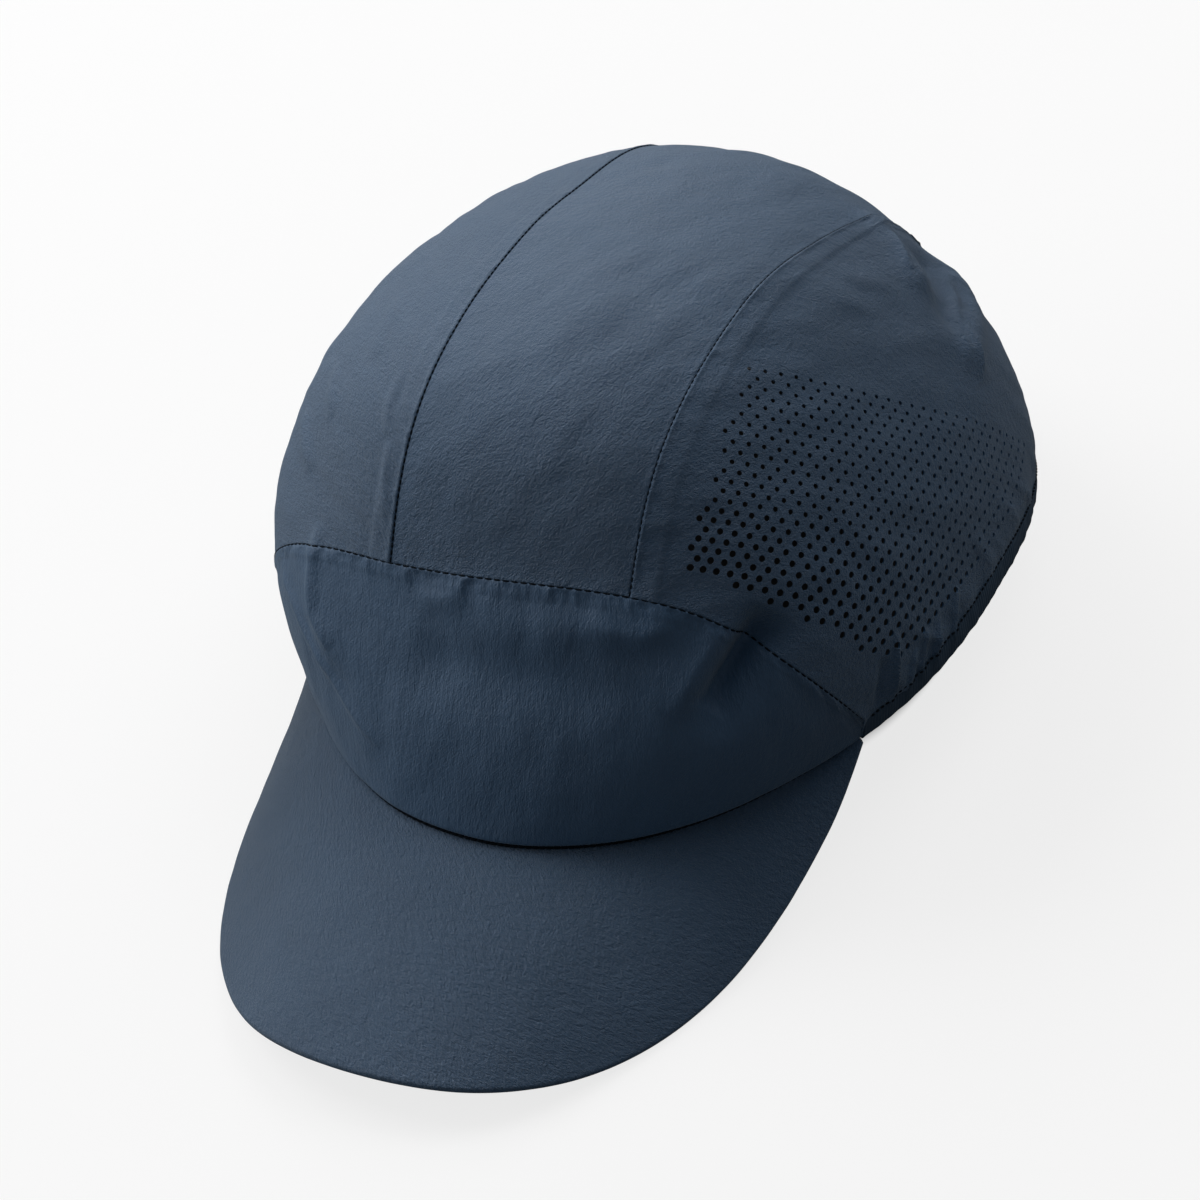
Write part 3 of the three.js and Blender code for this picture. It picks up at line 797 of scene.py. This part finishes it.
panels["front_panel"] = make_panel(
    "front_panel_cloth",
    (
        lambda s: direction(front_azimuth(s), rim_elevation(front_azimuth(s))),
        lambda s: direction(front_azimuth(s), front_seam_elevation(front_azimuth(s))),
        short_front_end(-VISOR_CORNER_AZIMUTH),
        short_front_end(VISOR_CORNER_AZIMUTH),
    ),
    sizes=(186.0, 58.0), spacing=(0.55, 0.75),
    seams={"left": PLAIN_SEAM, "right": PLAIN_SEAM, "bottom": VISOR_JOINT, "top": FRONT_BAND_SEAM},
    grain=0.0, seed=3,
)


# %% Centre panel
def seam_curve(side, start, end):
    return lambda share: long_seam(side, lerp(stops[side][start], stops[side][end], share))


def strip_front(share):
    """The centre panel's front edge, along the front seam."""
    right_end = azimuth_of(seam_curve(-1, "front", "back")(np.zeros(1)))[0]
    left_end = azimuth_of(seam_curve(1, "front", "back")(np.zeros(1)))[0]
    azimuth = lerp(right_end, left_end, share)
    return direction(azimuth, front_seam_elevation(azimuth))


panels["centre_panel"] = make_panel(
    "centre_panel_cloth",
    (strip_front, back_seam, seam_curve(-1, "front", "back"), seam_curve(1, "front", "back")),
    sizes=(59.0, 190.0), spacing=(0.7, 0.8),
    seams={"left": PLAIN_SEAM, "right": PLAIN_SEAM, "bottom": PLAIN_SEAM, "top": PLAIN_SEAM},
    grain=22.0, seed=17,
)


# %% Back panel
def back_hem(share):
    """The back panel's low edge, inside the tape, from the left long seam to the right one."""
    left_end = azimuth_of(seam_curve(1, "hem", "back")(np.zeros(1)))[0]
    right_end = azimuth_of(seam_curve(-1, "hem", "back")(np.zeros(1)))[0] + 360
    azimuth = lerp(left_end, right_end, share)
    return direction(azimuth, over_rim(azimuth, CLOTH_HEM))


panels["back_panel"] = make_panel(
    "back_panel_cloth",
    (
        back_hem,
        lambda s: back_seam(1 - s),
        seam_curve(1, "hem", "back"),
        seam_curve(-1, "hem", "back"),
    ),
    sizes=(60.0, 62.0), spacing=(0.8, 0.8),
    seams={"left": PLAIN_SEAM, "right": PLAIN_SEAM, "bottom": TAPE_HEM, "top": BAND_SEAM},
    grain=0.0, seed=29,
)


# %% Side panels
CORNER_SHARE = 0.09


def side_edges(side):
    """Hem, long seam, front seam and back seam of a side panel, from the front to the back."""
    junction = azimuth_of(long_seam(side, np.array([stops[side]["front"]])))[0]
    corner = side * VISOR_CORNER_AZIMUTH
    back_end = azimuth_of(long_seam(side, np.array([stops[side]["hem"]])))[0]

    def hem(share):
        azimuth = lerp(corner, back_end, share)
        return direction(azimuth, over_rim(azimuth, CLOTH_HEM))

    def front(share):
        along_seam = np.clip((share - CORNER_SHARE) / (1 - CORNER_SHARE), 0, 1)
        azimuth = lerp(corner, junction, along_seam)
        low = elevation_of(hem(np.zeros(1)))
        up_to_seam = np.clip(share / CORNER_SHARE, 0, 1)
        return direction(azimuth, lerp(low, front_seam_elevation(azimuth), up_to_seam))

    def back(share):
        return long_seam(side, lerp(stops[side]["hem"], stops[side]["back"], share))

    def top(share):
        return long_seam(side, lerp(stops[side]["front"], stops[side]["back"], share))

    return hem, top, front, back


hem, top, front, back = side_edges(1)
panels["side_panel_left"] = make_panel(
    "side_panel_left_cloth",
    (hem, top, front, back),
    sizes=(165.0, 92.0), spacing=(0.8, 0.8),
    seams={"left": PLAIN_SEAM, "right": BAND_SEAM, "bottom": TAPE_HEM, "top": BAND_SEAM},
    grain=-20.0, seed=41,
)
hem, top, front, back = side_edges(-1)
panels["side_panel_right"] = make_panel(
    "side_panel_right_cloth",
    (lambda s: hem(1 - s), lambda s: top(1 - s), back, front),
    sizes=(165.0, 92.0), spacing=(0.8, 0.8),
    seams={"left": BAND_SEAM, "right": PLAIN_SEAM, "bottom": TAPE_HEM, "top": BAND_SEAM},
    grain=20.0, seed=53,
)

# %% [markdown]
# ## Perforations
# The wearer's left side panel is punched with a field of small round holes, in staggered rows
# that run down towards the back. They grow from fine at the top to coarse at the bottom, and
# the pitch grows towards the back and the bottom. They are real holes: one short cylinder is
# modelled, a copy is pushed through the cloth at each place, and all of them are taken out with
# one Boolean.

# %% Places of the holes
HOLE_PITCH = 4.44
HOLE_PITCH_GROWTH = (0.048, 0.031, 0.0034)
HOLE_ROW_PITCH = 2.32
HOLE_ROW_LEAN = (0.15, 0.008)
HOLE_ROW_RISE = 0.083
MIDDLE_HOLE = (2.8, -0.15)
FIELD_AZIMUTH = 72.0
FIELD_ELEVATION = 26.0
FIELD_TURN = math.radians(-37)
FIELD_RADIUS = 84.0
SHORTEST_MOVE = 1e-6
FIELD_ROWS = np.array([
    # row, its first and last hole in half pitches from the middle one, and the radius
    (-14, -18.1, 32, 0.50),
    (-8, -20.4, 26, 0.54),
    (-7, -21, 25, 0.55),
    (0, -23.3, 18, 0.60),
    (1, -23.7, 17, 0.68),
    (7, -25.7, 11, 0.80),
    (8, -18, 10, 0.82),
    (11, -3, 7, 0.82),
    (12, 0, 6, 0.82),
])


def hole_places():
    """Distances along and down from the field's centre of every hole, with its radius."""
    places = []
    by_column, by_row, by_both = HOLE_PITCH_GROWTH
    for row in range(int(FIELD_ROWS[0, 0]), int(FIELD_ROWS[-1, 0]) + 1):
        first, last, radius = (
            np.interp(row, FIELD_ROWS[:, 0], column) for column in FIELD_ROWS[:, 1:].T
        )
        for half in range(math.ceil(first), math.floor(last) + 1):
            if (half - row) % 2:
                continue
            column = half / 2
            pitch = HOLE_PITCH + column * by_column + row * by_row + column * row * by_both
            lean = HOLE_ROW_LEAN[0] * row + HOLE_ROW_LEAN[1] * row**2
            down = MIDDLE_HOLE[1] + row * HOLE_ROW_PITCH - column * HOLE_ROW_RISE
            places.append((MIDDLE_HOLE[0] + column * pitch + lean, down, radius))
    return places


def field_way(along, down):
    """The direction from the head's centre to a place in the field."""
    centre = direction(np.float64(FIELD_AZIMUTH), np.float64(FIELD_ELEVATION))
    backwards_along = np.cross([0.0, 0.0, 1.0], centre)
    backwards_along /= np.linalg.norm(backwards_along)
    upwards = np.cross(centre, backwards_along)
    rows = backwards_along * math.cos(FIELD_TURN) + upwards * math.sin(FIELD_TURN)
    move = rows * along - np.cross(centre, rows) * down
    turn = np.linalg.norm(move) / FIELD_RADIUS
    return centre * math.cos(turn) + move * math.sin(turn) / max(turn * FIELD_RADIUS, SHORTEST_MOVE)


holes = hole_places()
print(len(holes), "holes")


# %% Punch the holes
HOLE_SIDES = 12
CUTTER_LENGTH = 14


def copies_joined(pattern, matrices, name):
    """Copies of a pattern object, each with its own mesh, set in place and joined."""
    copies = []
    for matrix in matrices:
        copy = pattern.copy()
        copy.data = pattern.data.copy()
        copy.data.transform(matrix)
        bpy.context.scene.collection.objects.link(copy)
        copies.append(copy)
    bpy.data.objects.remove(pattern)
    bpy.ops.object.select_all(action="DESELECT")
    for copy in copies:
        copy.select_set(True)
    bpy.context.view_layer.objects.active = copies[0]
    bpy.ops.object.join()
    joined = bpy.context.object
    joined.name = name
    joined.data.name = name
    return joined


def hole_matrix(along, down, radius):
    """Where the cutter goes for one hole, in metres on the table."""
    way = field_way(along, down)
    point = way * crown_radius(way) + HEAD_CENTRE
    outwards = Vector(TILT @ way)
    turned = outwards.to_track_quat("Z", "Y").to_matrix().to_4x4()
    size = Matrix.Diagonal((radius * MM, radius * MM, MM, 1))
    return Matrix.Translation(Vector(lay(point))) @ turned @ size


bpy.ops.object.select_all(action="DESELECT")
bpy.ops.mesh.primitive_cylinder_add(vertices=HOLE_SIDES, radius=1, depth=CUTTER_LENGTH)
places = [hole_matrix(*hole) for hole in holes]
cutters = copies_joined(bpy.context.object, places, "hole_cutters")
perforated = panels["side_panel_left"][0]
cut = perforated.modifiers.new("holes", "BOOLEAN")
cut.operation = "DIFFERENCE"
cut.solver = "MANIFOLD"
cut.object = cutters
bpy.context.view_layer.objects.active = perforated
bpy.ops.object.modifier_apply(modifier=cut.name)
bpy.data.objects.remove(cutters)
print("perforated panel has", len(perforated.data.polygons), "faces")

# %% [markdown]
# ## The visor
# The visor is two layers of the same cloth over a bendy stiffener, so it is one thick curved
# sheet. It runs from its joint under the forehead panel to a plain rolled edge, where the two
# skins meet in a half round. Behind the panel its seam allowance is turned up inside the cap.
# Half of its outline is a short table, which is mirrored.

# %% Visor sheet
VISOR_ROWS = (
    # out to the side, forward and up, in millimetres, from a corner to the tip
    (69.5, 34.5, 4.5),
    (67.5, 47.5, -9.0),
    (65.0, 74.0, -20.5),
    (58.5, 102.5, -27.0),
    (45.0, 127.5, -28.0),
    (25.0, 145.0, -24.5),
    (0.0, 150.0, -23.0),
)
VISOR_RISE = 1.5
VISOR_HALF_WALL = 1.0
VISOR_JOINT_LIFT = -2.1
VISOR_TUCK = 3.0
VISOR_ALLOWANCE = 5.0
VISOR_WAVES = ((16.0, 0.3), (5.0, 0.1))
VISOR_SPACING = 1.3
VISOR_WIDTH = 330
VISOR_REACH = 64.0
VISOR_EDGE_START = 2.4
VISOR_EDGE_STOPS = (1.6, 1.0, 0.7, 0.45, 0.25, 0.1, 0.0)
ALLOWANCE_ROWS = 4
VISOR_SEED = 5
STRAIGHT_UP = np.array([0, 0, 1])


def visor_edge(share):
    """Points of the visor's outline, from the left corner (0) round the tip to the right one (1)."""
    half = np.array(VISOR_ROWS)
    other = half[-2::-1] * [-1, 1, 1]
    rows = np.concatenate([half, other]) * [1, -1, 1]
    return smooth_curve(np.linspace(0, 1, len(rows)), rows)(share)


def visor_joint(share):
    """Points where the visor meets the forehead panel, from left to right."""
    azimuth = lerp(VISOR_CORNER_AZIMUTH, -VISOR_CORNER_AZIMUTH, share)
    way = direction(azimuth, rim_elevation(azimuth))
    return way * (crown_radius(way) - VISOR_TUCK)[..., None] + HEAD_CENTRE + [0, 0, VISOR_JOINT_LIFT]


def make_visor():
    """The visor's sheet, with its skins meeting in a half round at the edge."""
    across = np.linspace(0, 1, round(VISOR_WIDTH / VISOR_SPACING) + 1)
    rows = round(VISOR_REACH / VISOR_SPACING)
    open_cloth = np.linspace(0, VISOR_REACH - VISOR_EDGE_START, rows)
    close = [VISOR_REACH - stop for stop in VISOR_EDGE_STOPS]
    outwards = np.array([*open_cloth, *close]) / VISOR_REACH
    joint = visor_joint(across)[None]
    edge = visor_edge(across)[None]
    v = outwards[:, None, None]
    middle = lerp(joint, edge, v) + STRAIGHT_UP * VISOR_RISE * np.sin(math.pi * v)
    rise = np.linspace(VISOR_ALLOWANCE, VISOR_ALLOWANCE / ALLOWANCE_ROWS, ALLOWANCE_ROWS)
    middle = np.concatenate([joint + rise[:, None, None] * STRAIGHT_UP, middle])
    run = lengths_along(middle, 0)
    for size, tall in VISOR_WAVES:
        middle = middle + skin_normals(middle) * tall * rumple(middle, size, VISOR_SEED)[..., None]
    from_edge = np.minimum(run[-1:] - run, VISOR_HALF_WALL)
    half = np.sqrt(VISOR_HALF_WALL**2 - (VISOR_HALF_WALL - from_edge) ** 2)
    normal = skin_normals(middle)
    top = middle + normal * half[..., None]
    under = middle - normal * half[..., None]
    piece = walled_grid("visor_cloth_sheet", top, under, lengths_along(middle, 1), run)
    flat = (lengths_along(middle, 1)[-1].max() * MM, run[-1].max() * MM)
    return piece, flat, grid_area(middle)


visor, visor_flat, visor_area = make_visor()
print("visor", len(visor.data.polygons), "faces")

# %% [markdown]
# ## The elastic tape
# A ribbed elastic tape is folded round the raw edge of the side and back panels. Seen in
# section it is a U: one leg outside, one inside, and a round fold under the rim. It is sewn on
# stretched, so it gathers when it springs back. The section is a short list of places, swept
# round the rim, and a quick noise along the tape makes the gathers.

# %% Tape
TAPE_SECTION = (
    # height over the rim, stretched until the first is TAPE_HEIGHT, and distance out of the
    # cloth's outer face, in millimetres
    (4.4, 0.25),
    (4.1, 0.50),
    (3.2, 0.62),
    (2.0, 0.65),
    (1.0, 0.60),
    (0.45, 0.35),
    (0.1, -0.10),
    (0.0, -0.60),
    (0.1, -1.10),
    (0.45, -1.45),
    (1.0, -1.65),
    (2.0, -1.70),
    (3.2, -1.60),
    (3.9, -1.35),
    (4.2, -1.00),
)
TAPE_WALL = 0.55
TAPE_SPACING = 0.8
TAPE_GATHER = 0.3
TAPE_ROUGH_LENGTH = 400
TAPE_CORNER_GAP = 0.4
GATHER_SIZE = (3.0, 9.0)
GATHER_SEED = 61
GATHER_LIFT = 0.5
TAPE_FOLD = -0.6
INNER_GATHER = -0.6


def make_tape():
    """The folded tape, from the left visor corner round the back to the right one."""
    start = VISOR_CORNER_AZIMUTH + TAPE_CORNER_GAP
    columns = round(TAPE_ROUGH_LENGTH / TAPE_SPACING)
    azimuth = np.linspace(start, 360 - start, columns + 1)
    section = np.array(TAPE_SECTION)
    shape = (len(section), len(azimuth))
    around = np.broadcast_to(azimuth, shape)
    low = rim_elevation(azimuth)
    rim_radius = crown_radius(direction(azimuth, low))
    base = direction(azimuth, low) * rim_radius[:, None]
    run = np.broadcast_to(lengths_along(base[None], 1), shape)
    along, up = GATHER_SIZE
    line = np.stack([run / along, section[:, :1] / up + 0 * run, 0 * run], -1)
    gather = rumple(line, 1.0, GATHER_SEED) * TAPE_GATHER
    outwards = section[:, 1:] + gather * np.where(section[:, 1:] > TAPE_FOLD, 1.0, INNER_GATHER)
    stretch = TAPE_HEIGHT / TAPE_SECTION[0][0]
    heights = section[:, :1] * (stretch + GATHER_LIFT * gather / TAPE_HEIGHT)
    way = direction(around, low[None] + np.degrees(heights / rim_radius[None]))
    outer = way * (crown_radius(way) + drape(way) + outwards)[..., None] + HEAD_CENTRE
    outer = outer[::-1]
    inner = outer - skin_normals(outer) * TAPE_WALL
    across_tape = lengths_along(outer, 0)
    return walled_grid("elastic_edge_tape", outer, inner, run[::-1], across_tape)


tape = make_tape()
print("tape", len(tape.data.polygons), "faces")

# %% [markdown]
# ## Stitches
# The thread is nearly black, and it shows as short dashes lying in each seam and along the
# tape's upper edge. Deep in the visor's joint a near-black cord of overlapping stitches is laid
# as a painted shadow that darkens the crevice's line. One stitch is a small stretched ball, with
# the few faces that something so small needs.
# A copy is laid at each place along a seam, turned to run with it.

# %% Lay stitches along a line
STITCH_BALL = {"segments": 6, "ring_count": 5, "radius": 1}


def stitch_matrices(points, normals, pitch, length, thickness):
    """Places for stitches along a polyline on the worn cap, in millimetres."""
    steps = np.linalg.norm(np.diff(points, axis=0), axis=1)
    run = np.concatenate([[0], np.cumsum(steps)])
    places = np.arange(pitch / 2, run[-1], pitch)
    matrices = []
    for start in places:
        ends = [start - length / 2, start, start + length / 2]
        first, middle, last = (
            np.array([np.interp(end, run, points[:, k]) for k in range(3)]) for end in ends
        )
        normal = np.array([np.interp(start, run, normals[:, k]) for k in range(3)])
        along = Vector(TILT @ (last - first)).normalized()
        outwards = Vector(TILT @ normal).normalized()
        sideways = outwards.cross(along).normalized()
        outwards = along.cross(sideways)
        turned = Matrix([along, sideways, outwards]).transposed().to_4x4()
        size = Matrix.Diagonal((length * MM / 2, thickness * MM / 2, thickness * MM / 2, 1))
        matrices.append(Matrix.Translation(Vector(lay(middle))) @ turned @ size)
    return matrices


def seam_stitches(name, way, height, pitch, length, thickness):
    """A row of stitches at a height over the smooth crown, along a curve of directions."""
    points = way * (crown_radius(way) + drape(way) + height)[..., None] + HEAD_CENTRE
    bpy.ops.object.select_all(action="DESELECT")
    bpy.ops.mesh.primitive_uv_sphere_add(**STITCH_BALL, rotation=(0, math.pi / 2, 0))
    bpy.ops.object.transform_apply(location=False, rotation=True, scale=False)
    pattern = bpy.context.object
    row = copies_joined(pattern, stitch_matrices(points, way, pitch, length, thickness), name)
    print(name, "has", len(row.data.polygons), "faces")
    return row


# %% Stitches of every seam
LINE_POINTS = 400
SHORT_SEAM_THREAD = {"height": 0.1, "pitch": 2.1, "length": 1.7, "thickness": 0.5}
LONG_SEAM_THREAD = {"height": 0.1, "pitch": 1.6, "length": 1.2, "thickness": 0.45}
# The joint's row is a continuous near-black cord, a painted shadow in the visor's crevice.
JOINT_SHADOW_CORD = {"height": -1.2, "pitch": 1.6, "length": 1.9, "thickness": 0.8}
TAPE_THREAD = {"height": 0.5, "pitch": 1.5, "length": 1.0, "thickness": 0.5}
JOINT_SHADOW_CORD_END = 1.0
JOINT_SHADOW_CORD_DROP = 0.7
TAPE_THREAD_END = 1.5
TAPE_THREAD_INSET = 0.1

share = np.linspace(0, 1, LINE_POINTS)
front_line = front_azimuth(share)
joint_end = VISOR_CORNER_AZIMUTH - JOINT_SHADOW_CORD_END
joint_line = np.linspace(-joint_end, joint_end, LINE_POINTS)
tape_end = VISOR_CORNER_AZIMUTH + TAPE_THREAD_END
tape_line = np.linspace(tape_end, 360 - tape_end, LINE_POINTS)
STITCHED_LINES = {
    "front_seam": (direction(front_line, front_seam_elevation(front_line)), SHORT_SEAM_THREAD),
    "left_seam": (seam_curve(1, "front", "hem")(share), LONG_SEAM_THREAD),
    "right_seam": (seam_curve(-1, "front", "hem")(share), LONG_SEAM_THREAD),
    "back_seam": (back_seam(share), SHORT_SEAM_THREAD),
    "joint": (direction(joint_line, over_rim(joint_line, -JOINT_SHADOW_CORD_DROP)), JOINT_SHADOW_CORD),
    "tape": (
        direction(tape_line, over_rim(tape_line, TAPE_HEIGHT - TAPE_THREAD_INSET)), TAPE_THREAD,
    ),
}
stitches = [
    seam_stitches(f"{name}_stitches", line, **thread)
    for name, (line, thread) in STITCHED_LINES.items()
]

# %% [markdown]
# ## Cloth, tape and thread finishes
# The cloth is a matte dark slate blue. Close up it has three things: a fine plain weave, a
# crinkle that runs in short strokes with the grain, and a faint cloudiness where the dye took
# unevenly. These are three small node groups that read the cloth map in millimetres, so each
# piece can have its own stroke length and strength. The colours are kept on the shader, and
# the groups only give masks and heights. The stroke mask also colours the cloth as painted
# shade, deeper in the crinkle's troughs and paler on its crests.


# %% Node helpers
def new_group(name, inputs, outputs):
    """An empty shader node group with named sockets."""
    group = bpy.data.node_groups.new(name, "ShaderNodeTree")
    for socket, kind, value in inputs:
        made = group.interface.new_socket(socket, in_out="INPUT", socket_type=kind)
        if value is not None:
            made.default_value = value
    for socket, kind in outputs:
        group.interface.new_socket(socket, in_out="OUTPUT", socket_type=kind)
    start = group.nodes.new("NodeGroupInput")
    end = group.nodes.new("NodeGroupOutput")
    return group, start, end


# %% Crinkle group
SWELL_SHARE = 0.9
STROKES = {"Scale": 1.0, "Detail": 3.0, "Roughness": 0.6, "Distortion": 0.4}
SWELLS = {"Scale": 0.3, "Detail": 1.0, "Roughness": 0.6, "Distortion": 0.4}
CLOUDS = {"Scale": 0.06, "Detail": 3.0}


def noise_value(tree, place, sizes):
    """A noise texture's value at a place, from its sizes by socket name."""
    texture = tree.nodes.new("ShaderNodeTexNoise")
    set_inputs(texture, sizes)
    tree.links.new(place, texture.inputs["Vector"])
    return texture.outputs["Fac"]


def crinkle_group():
    """Short strokes with the grain and cloudy patches, from the cloth map in millimetres."""
    group, start, end = new_group(
        "cloth_crinkle",
        (
            ("Cloth map", "NodeSocketVector", None),
            ("Stroke width", "NodeSocketFloat", 0.8),
            ("Stroke stretch", "NodeSocketFloat", 4.0),
            ("Grain turn", "NodeSocketFloat", 0.0),
        ),
        (("Height", "NodeSocketFloat"), ("Strokes", "NodeSocketFloat"), ("Cloud", "NodeSocketFloat")),
    )
    turn = group.nodes.new("ShaderNodeVectorRotate")
    turn.rotation_type = "Z_AXIS"
    group.links.new(start.outputs["Cloth map"], turn.inputs["Vector"])
    group.links.new(start.outputs["Grain turn"], turn.inputs["Angle"])
    split = group.nodes.new("ShaderNodeSeparateXYZ")
    group.links.new(turn.outputs["Vector"], split.inputs["Vector"])
    across = math_node(group, "DIVIDE", split.outputs["X"], start.outputs["Stroke width"])
    stretch = start.outputs["Stroke stretch"]
    length = math_node(group, "MULTIPLY", start.outputs["Stroke width"], stretch)
    along = math_node(group, "DIVIDE", split.outputs["Y"], length)
    joined = group.nodes.new("ShaderNodeCombineXYZ")
    group.links.new(across, joined.inputs["X"])
    group.links.new(along, joined.inputs["Y"])
    strokes = noise_value(group, joined.outputs["Vector"], STROKES)
    swells = noise_value(group, joined.outputs["Vector"], SWELLS)
    height = math_node(group, "ADD", strokes, math_node(group, "MULTIPLY", swells, SWELL_SHARE))
    clouds = noise_value(group, start.outputs["Cloth map"], CLOUDS)
    group.links.new(height, end.inputs["Height"])
    group.links.new(strokes, end.inputs["Strokes"])
    group.links.new(clouds, end.inputs["Cloud"])
    return group


# %% Weave group
def weave_group():
    """A plain weave of crossing threads, from the cloth map in millimetres."""
    group, start, end = new_group(
        "plain_weave",
        (("Cloth map", "NodeSocketVector", None), ("Threads per mm", "NodeSocketFloat", 2.5)),
        (("Height", "NodeSocketFloat"),),
    )
    split = group.nodes.new("ShaderNodeSeparateXYZ")
    group.links.new(start.outputs["Cloth map"], split.inputs["Vector"])
    turns = math_node(group, "MULTIPLY", start.outputs["Threads per mm"], math.pi)
    across = math_node(group, "MULTIPLY", split.outputs["X"], turns)
    upwards = math_node(group, "MULTIPLY", split.outputs["Y"], turns)
    warp = math_node(group, "SINE", across, 0.0)
    weft = math_node(group, "SINE", upwards, 0.0)
    product = math_node(group, "MULTIPLY", warp, weft)
    half = math_node(group, "MULTIPLY", product, 0.5)
    group.links.new(math_node(group, "ADD", half, 0.5), end.inputs["Height"])
    return group


crinkle = crinkle_group()
weave = weave_group()


# %% Cloth material
CLOTH_DEEP = (0.002, 0.040, 0.104, 1)
CLOTH_PALE = (0.006, 0.064, 0.152, 1)
STROKE_PAINTED_SHADE = 0.6
CLOUD_TONE = 0.4
WEAVE_BUMP = {"Strength": 0.35, "Distance": 0.00008}
CLOTH_FINISH = {
    "Roughness": 0.6,
    "Specular IOR Level": 0.8,
    "Sheen Weight": 0.2,
    "Sheen Roughness": 0.5,
    "Sheen Tint": (0.85, 0.95, 1.0, 1),
}
CLOTHS = {
    # stroke width in millimetres, its stretch, its turn in degrees and the bump in millimetres
    "forehead_weave": (0.32, 3.4, 0.0, 0.28),
    "crown_weave": (0.36, 1.4, 22.0, 0.52),
    "visor_weave": (0.36, 1.3, 20.0, 0.7),
}


def new_material(name, finish):
    """A material with its finish set, its node tree and its shader."""
    material = bpy.data.materials.new(name)
    material.use_nodes = True
    shader = material.node_tree.nodes["Principled BSDF"]
    set_inputs(shader, finish)
    return material, material.node_tree, shader


def cloth_place(tree):
    """Places on a piece's own cloth map, in millimetres."""
    cloth_map = tree.nodes.new("ShaderNodeUVMap")
    cloth_map.uv_map = "cloth_mm"
    return cloth_map.outputs["UV"]


def set_colour(tree, shader, deep, pale, factor):
    """Colours a shader between a deep and a pale tone."""
    tone = tree.nodes.new("ShaderNodeMix")
    tone.data_type = "RGBA"
    set_inputs(tone, {"A": deep, "B": pale})
    tree.links.new(factor, tone.inputs["Factor"])
    tree.links.new(tone.outputs["Result"], shader.inputs["Base Color"])


def add_bump(tree, height, sizes):
    """A bump node over a height, with its strength and distance."""
    bump = tree.nodes.new("ShaderNodeBump")
    set_inputs(bump, sizes)
    tree.links.new(height, bump.inputs["Height"])
    return bump


def cloth_material(name, width, stretch, turn, bump):
    """A matte woven cloth with strokes of one size, over a plain weave."""
    material, tree, shader = new_material(name, CLOTH_FINISH)
    strokes = tree.nodes.new("ShaderNodeGroup")
    strokes.node_tree = crinkle
    set_inputs(strokes, {
        "Stroke width": width, "Stroke stretch": stretch, "Grain turn": math.radians(turn),
    })
    threads = tree.nodes.new("ShaderNodeGroup")
    threads.node_tree = weave
    place = cloth_place(tree)
    for node in (strokes, threads):
        tree.links.new(place, node.inputs["Cloth map"])
    # The strokes follow the crinkle's height, so this colour is painted shade: deeper in its troughs,
    # paler on its crests.
    shade = math_node(tree, "MULTIPLY", strokes.outputs["Strokes"], STROKE_PAINTED_SHADE)
    cloud = math_node(tree, "MULTIPLY", strokes.outputs["Cloud"], CLOUD_TONE)
    set_colour(tree, shader, CLOTH_DEEP, CLOTH_PALE, math_node(tree, "ADD", shade, cloud))
    fine = add_bump(tree, threads.outputs["Height"], WEAVE_BUMP)
    coarse = add_bump(tree, strokes.outputs["Height"], {"Strength": 1.0, "Distance": bump * MM})
    tree.links.new(fine.outputs["Normal"], coarse.inputs["Normal"])
    tree.links.new(coarse.outputs["Normal"], shader.inputs["Normal"])
    return material


cloths = {name: cloth_material(name, *sizes) for name, sizes in CLOTHS.items()}

# %% Tape and thread
TAPE_DEEP = (0.010, 0.032, 0.062, 1)
TAPE_PALE = (0.018, 0.048, 0.090, 1)
TAPE_FUZZ = {"Scale": 1.4, "Detail": 4.0}
TAPE_BUMP = {"Strength": 0.6, "Distance": 0.0001}
TAPE_FINISH = {"Roughness": 0.8}
RIB_TURNS = 7.0
THREAD_DEEP = (0.001, 0.003, 0.006, 1)
THREAD_PALE = (0.004, 0.009, 0.016, 1)
THREAD_FUZZ = {"Scale": 1800.0}
THREAD_FINISH = {"Roughness": 0.8, "Specular IOR Level": 0.1}


def tape_material():
    """A ribbed elastic tape, near black, with ribs that run across it."""
    material, tree, shader = new_material("ribbed_tape", TAPE_FINISH)
    place = cloth_place(tree)
    split = tree.nodes.new("ShaderNodeSeparateXYZ")
    tree.links.new(place, split.inputs["Vector"])
    turns = math_node(tree, "MULTIPLY", split.outputs["X"], RIB_TURNS)
    ribs = add_bump(tree, math_node(tree, "SINE", turns, 0.0), TAPE_BUMP)
    set_colour(tree, shader, TAPE_DEEP, TAPE_PALE, noise_value(tree, place, TAPE_FUZZ))
    tree.links.new(ribs.outputs["Normal"], shader.inputs["Normal"])
    return material


def thread_material():
    """Near-black sewing thread, its shade varied a little along its length, also the joint's painted
    shadow cord.
    """
    material, tree, shader = new_material("dark_thread_and_shadow_cord", THREAD_FINISH)
    place = tree.nodes.new("ShaderNodeTexCoord").outputs["Object"]
    set_colour(tree, shader, THREAD_DEEP, THREAD_PALE, noise_value(tree, place, THREAD_FUZZ))
    return material


elastic_tape = tape_material()
dark_thread_and_shadow_cord = thread_material()

# %% [markdown]
# ## Dress the frame
# Each cloth piece rides on the cap's one body and stands for the plain solid of its panel.


# %% Finish each piece
SHARP_EDGE = math.radians(50)


def dress(piece, material, node=None):
    """Gives a piece its finish and sets it on the frame, for the plain solid it stands for."""
    bpy.ops.object.select_all(action="DESELECT")
    piece.select_set(True)
    bpy.context.view_layer.objects.active = piece
    bpy.ops.object.shade_smooth_by_angle(angle=SHARP_EDGE)
    piece.data.materials.clear()
    piece.data.materials.append(material)
    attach(piece, "root")
    if node:
        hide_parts(node)


for node, (piece, flat, area) in panels.items():
    weave_name = "forehead_weave" if node == "front_panel" else "crown_weave"
    dress(piece, cloths[weave_name], node)
dress(visor, cloths["visor_weave"], "visor")
dress(tape, elastic_tape, "edge_binding")
for row in stitches:
    dress(row, dark_thread_and_shadow_cord)
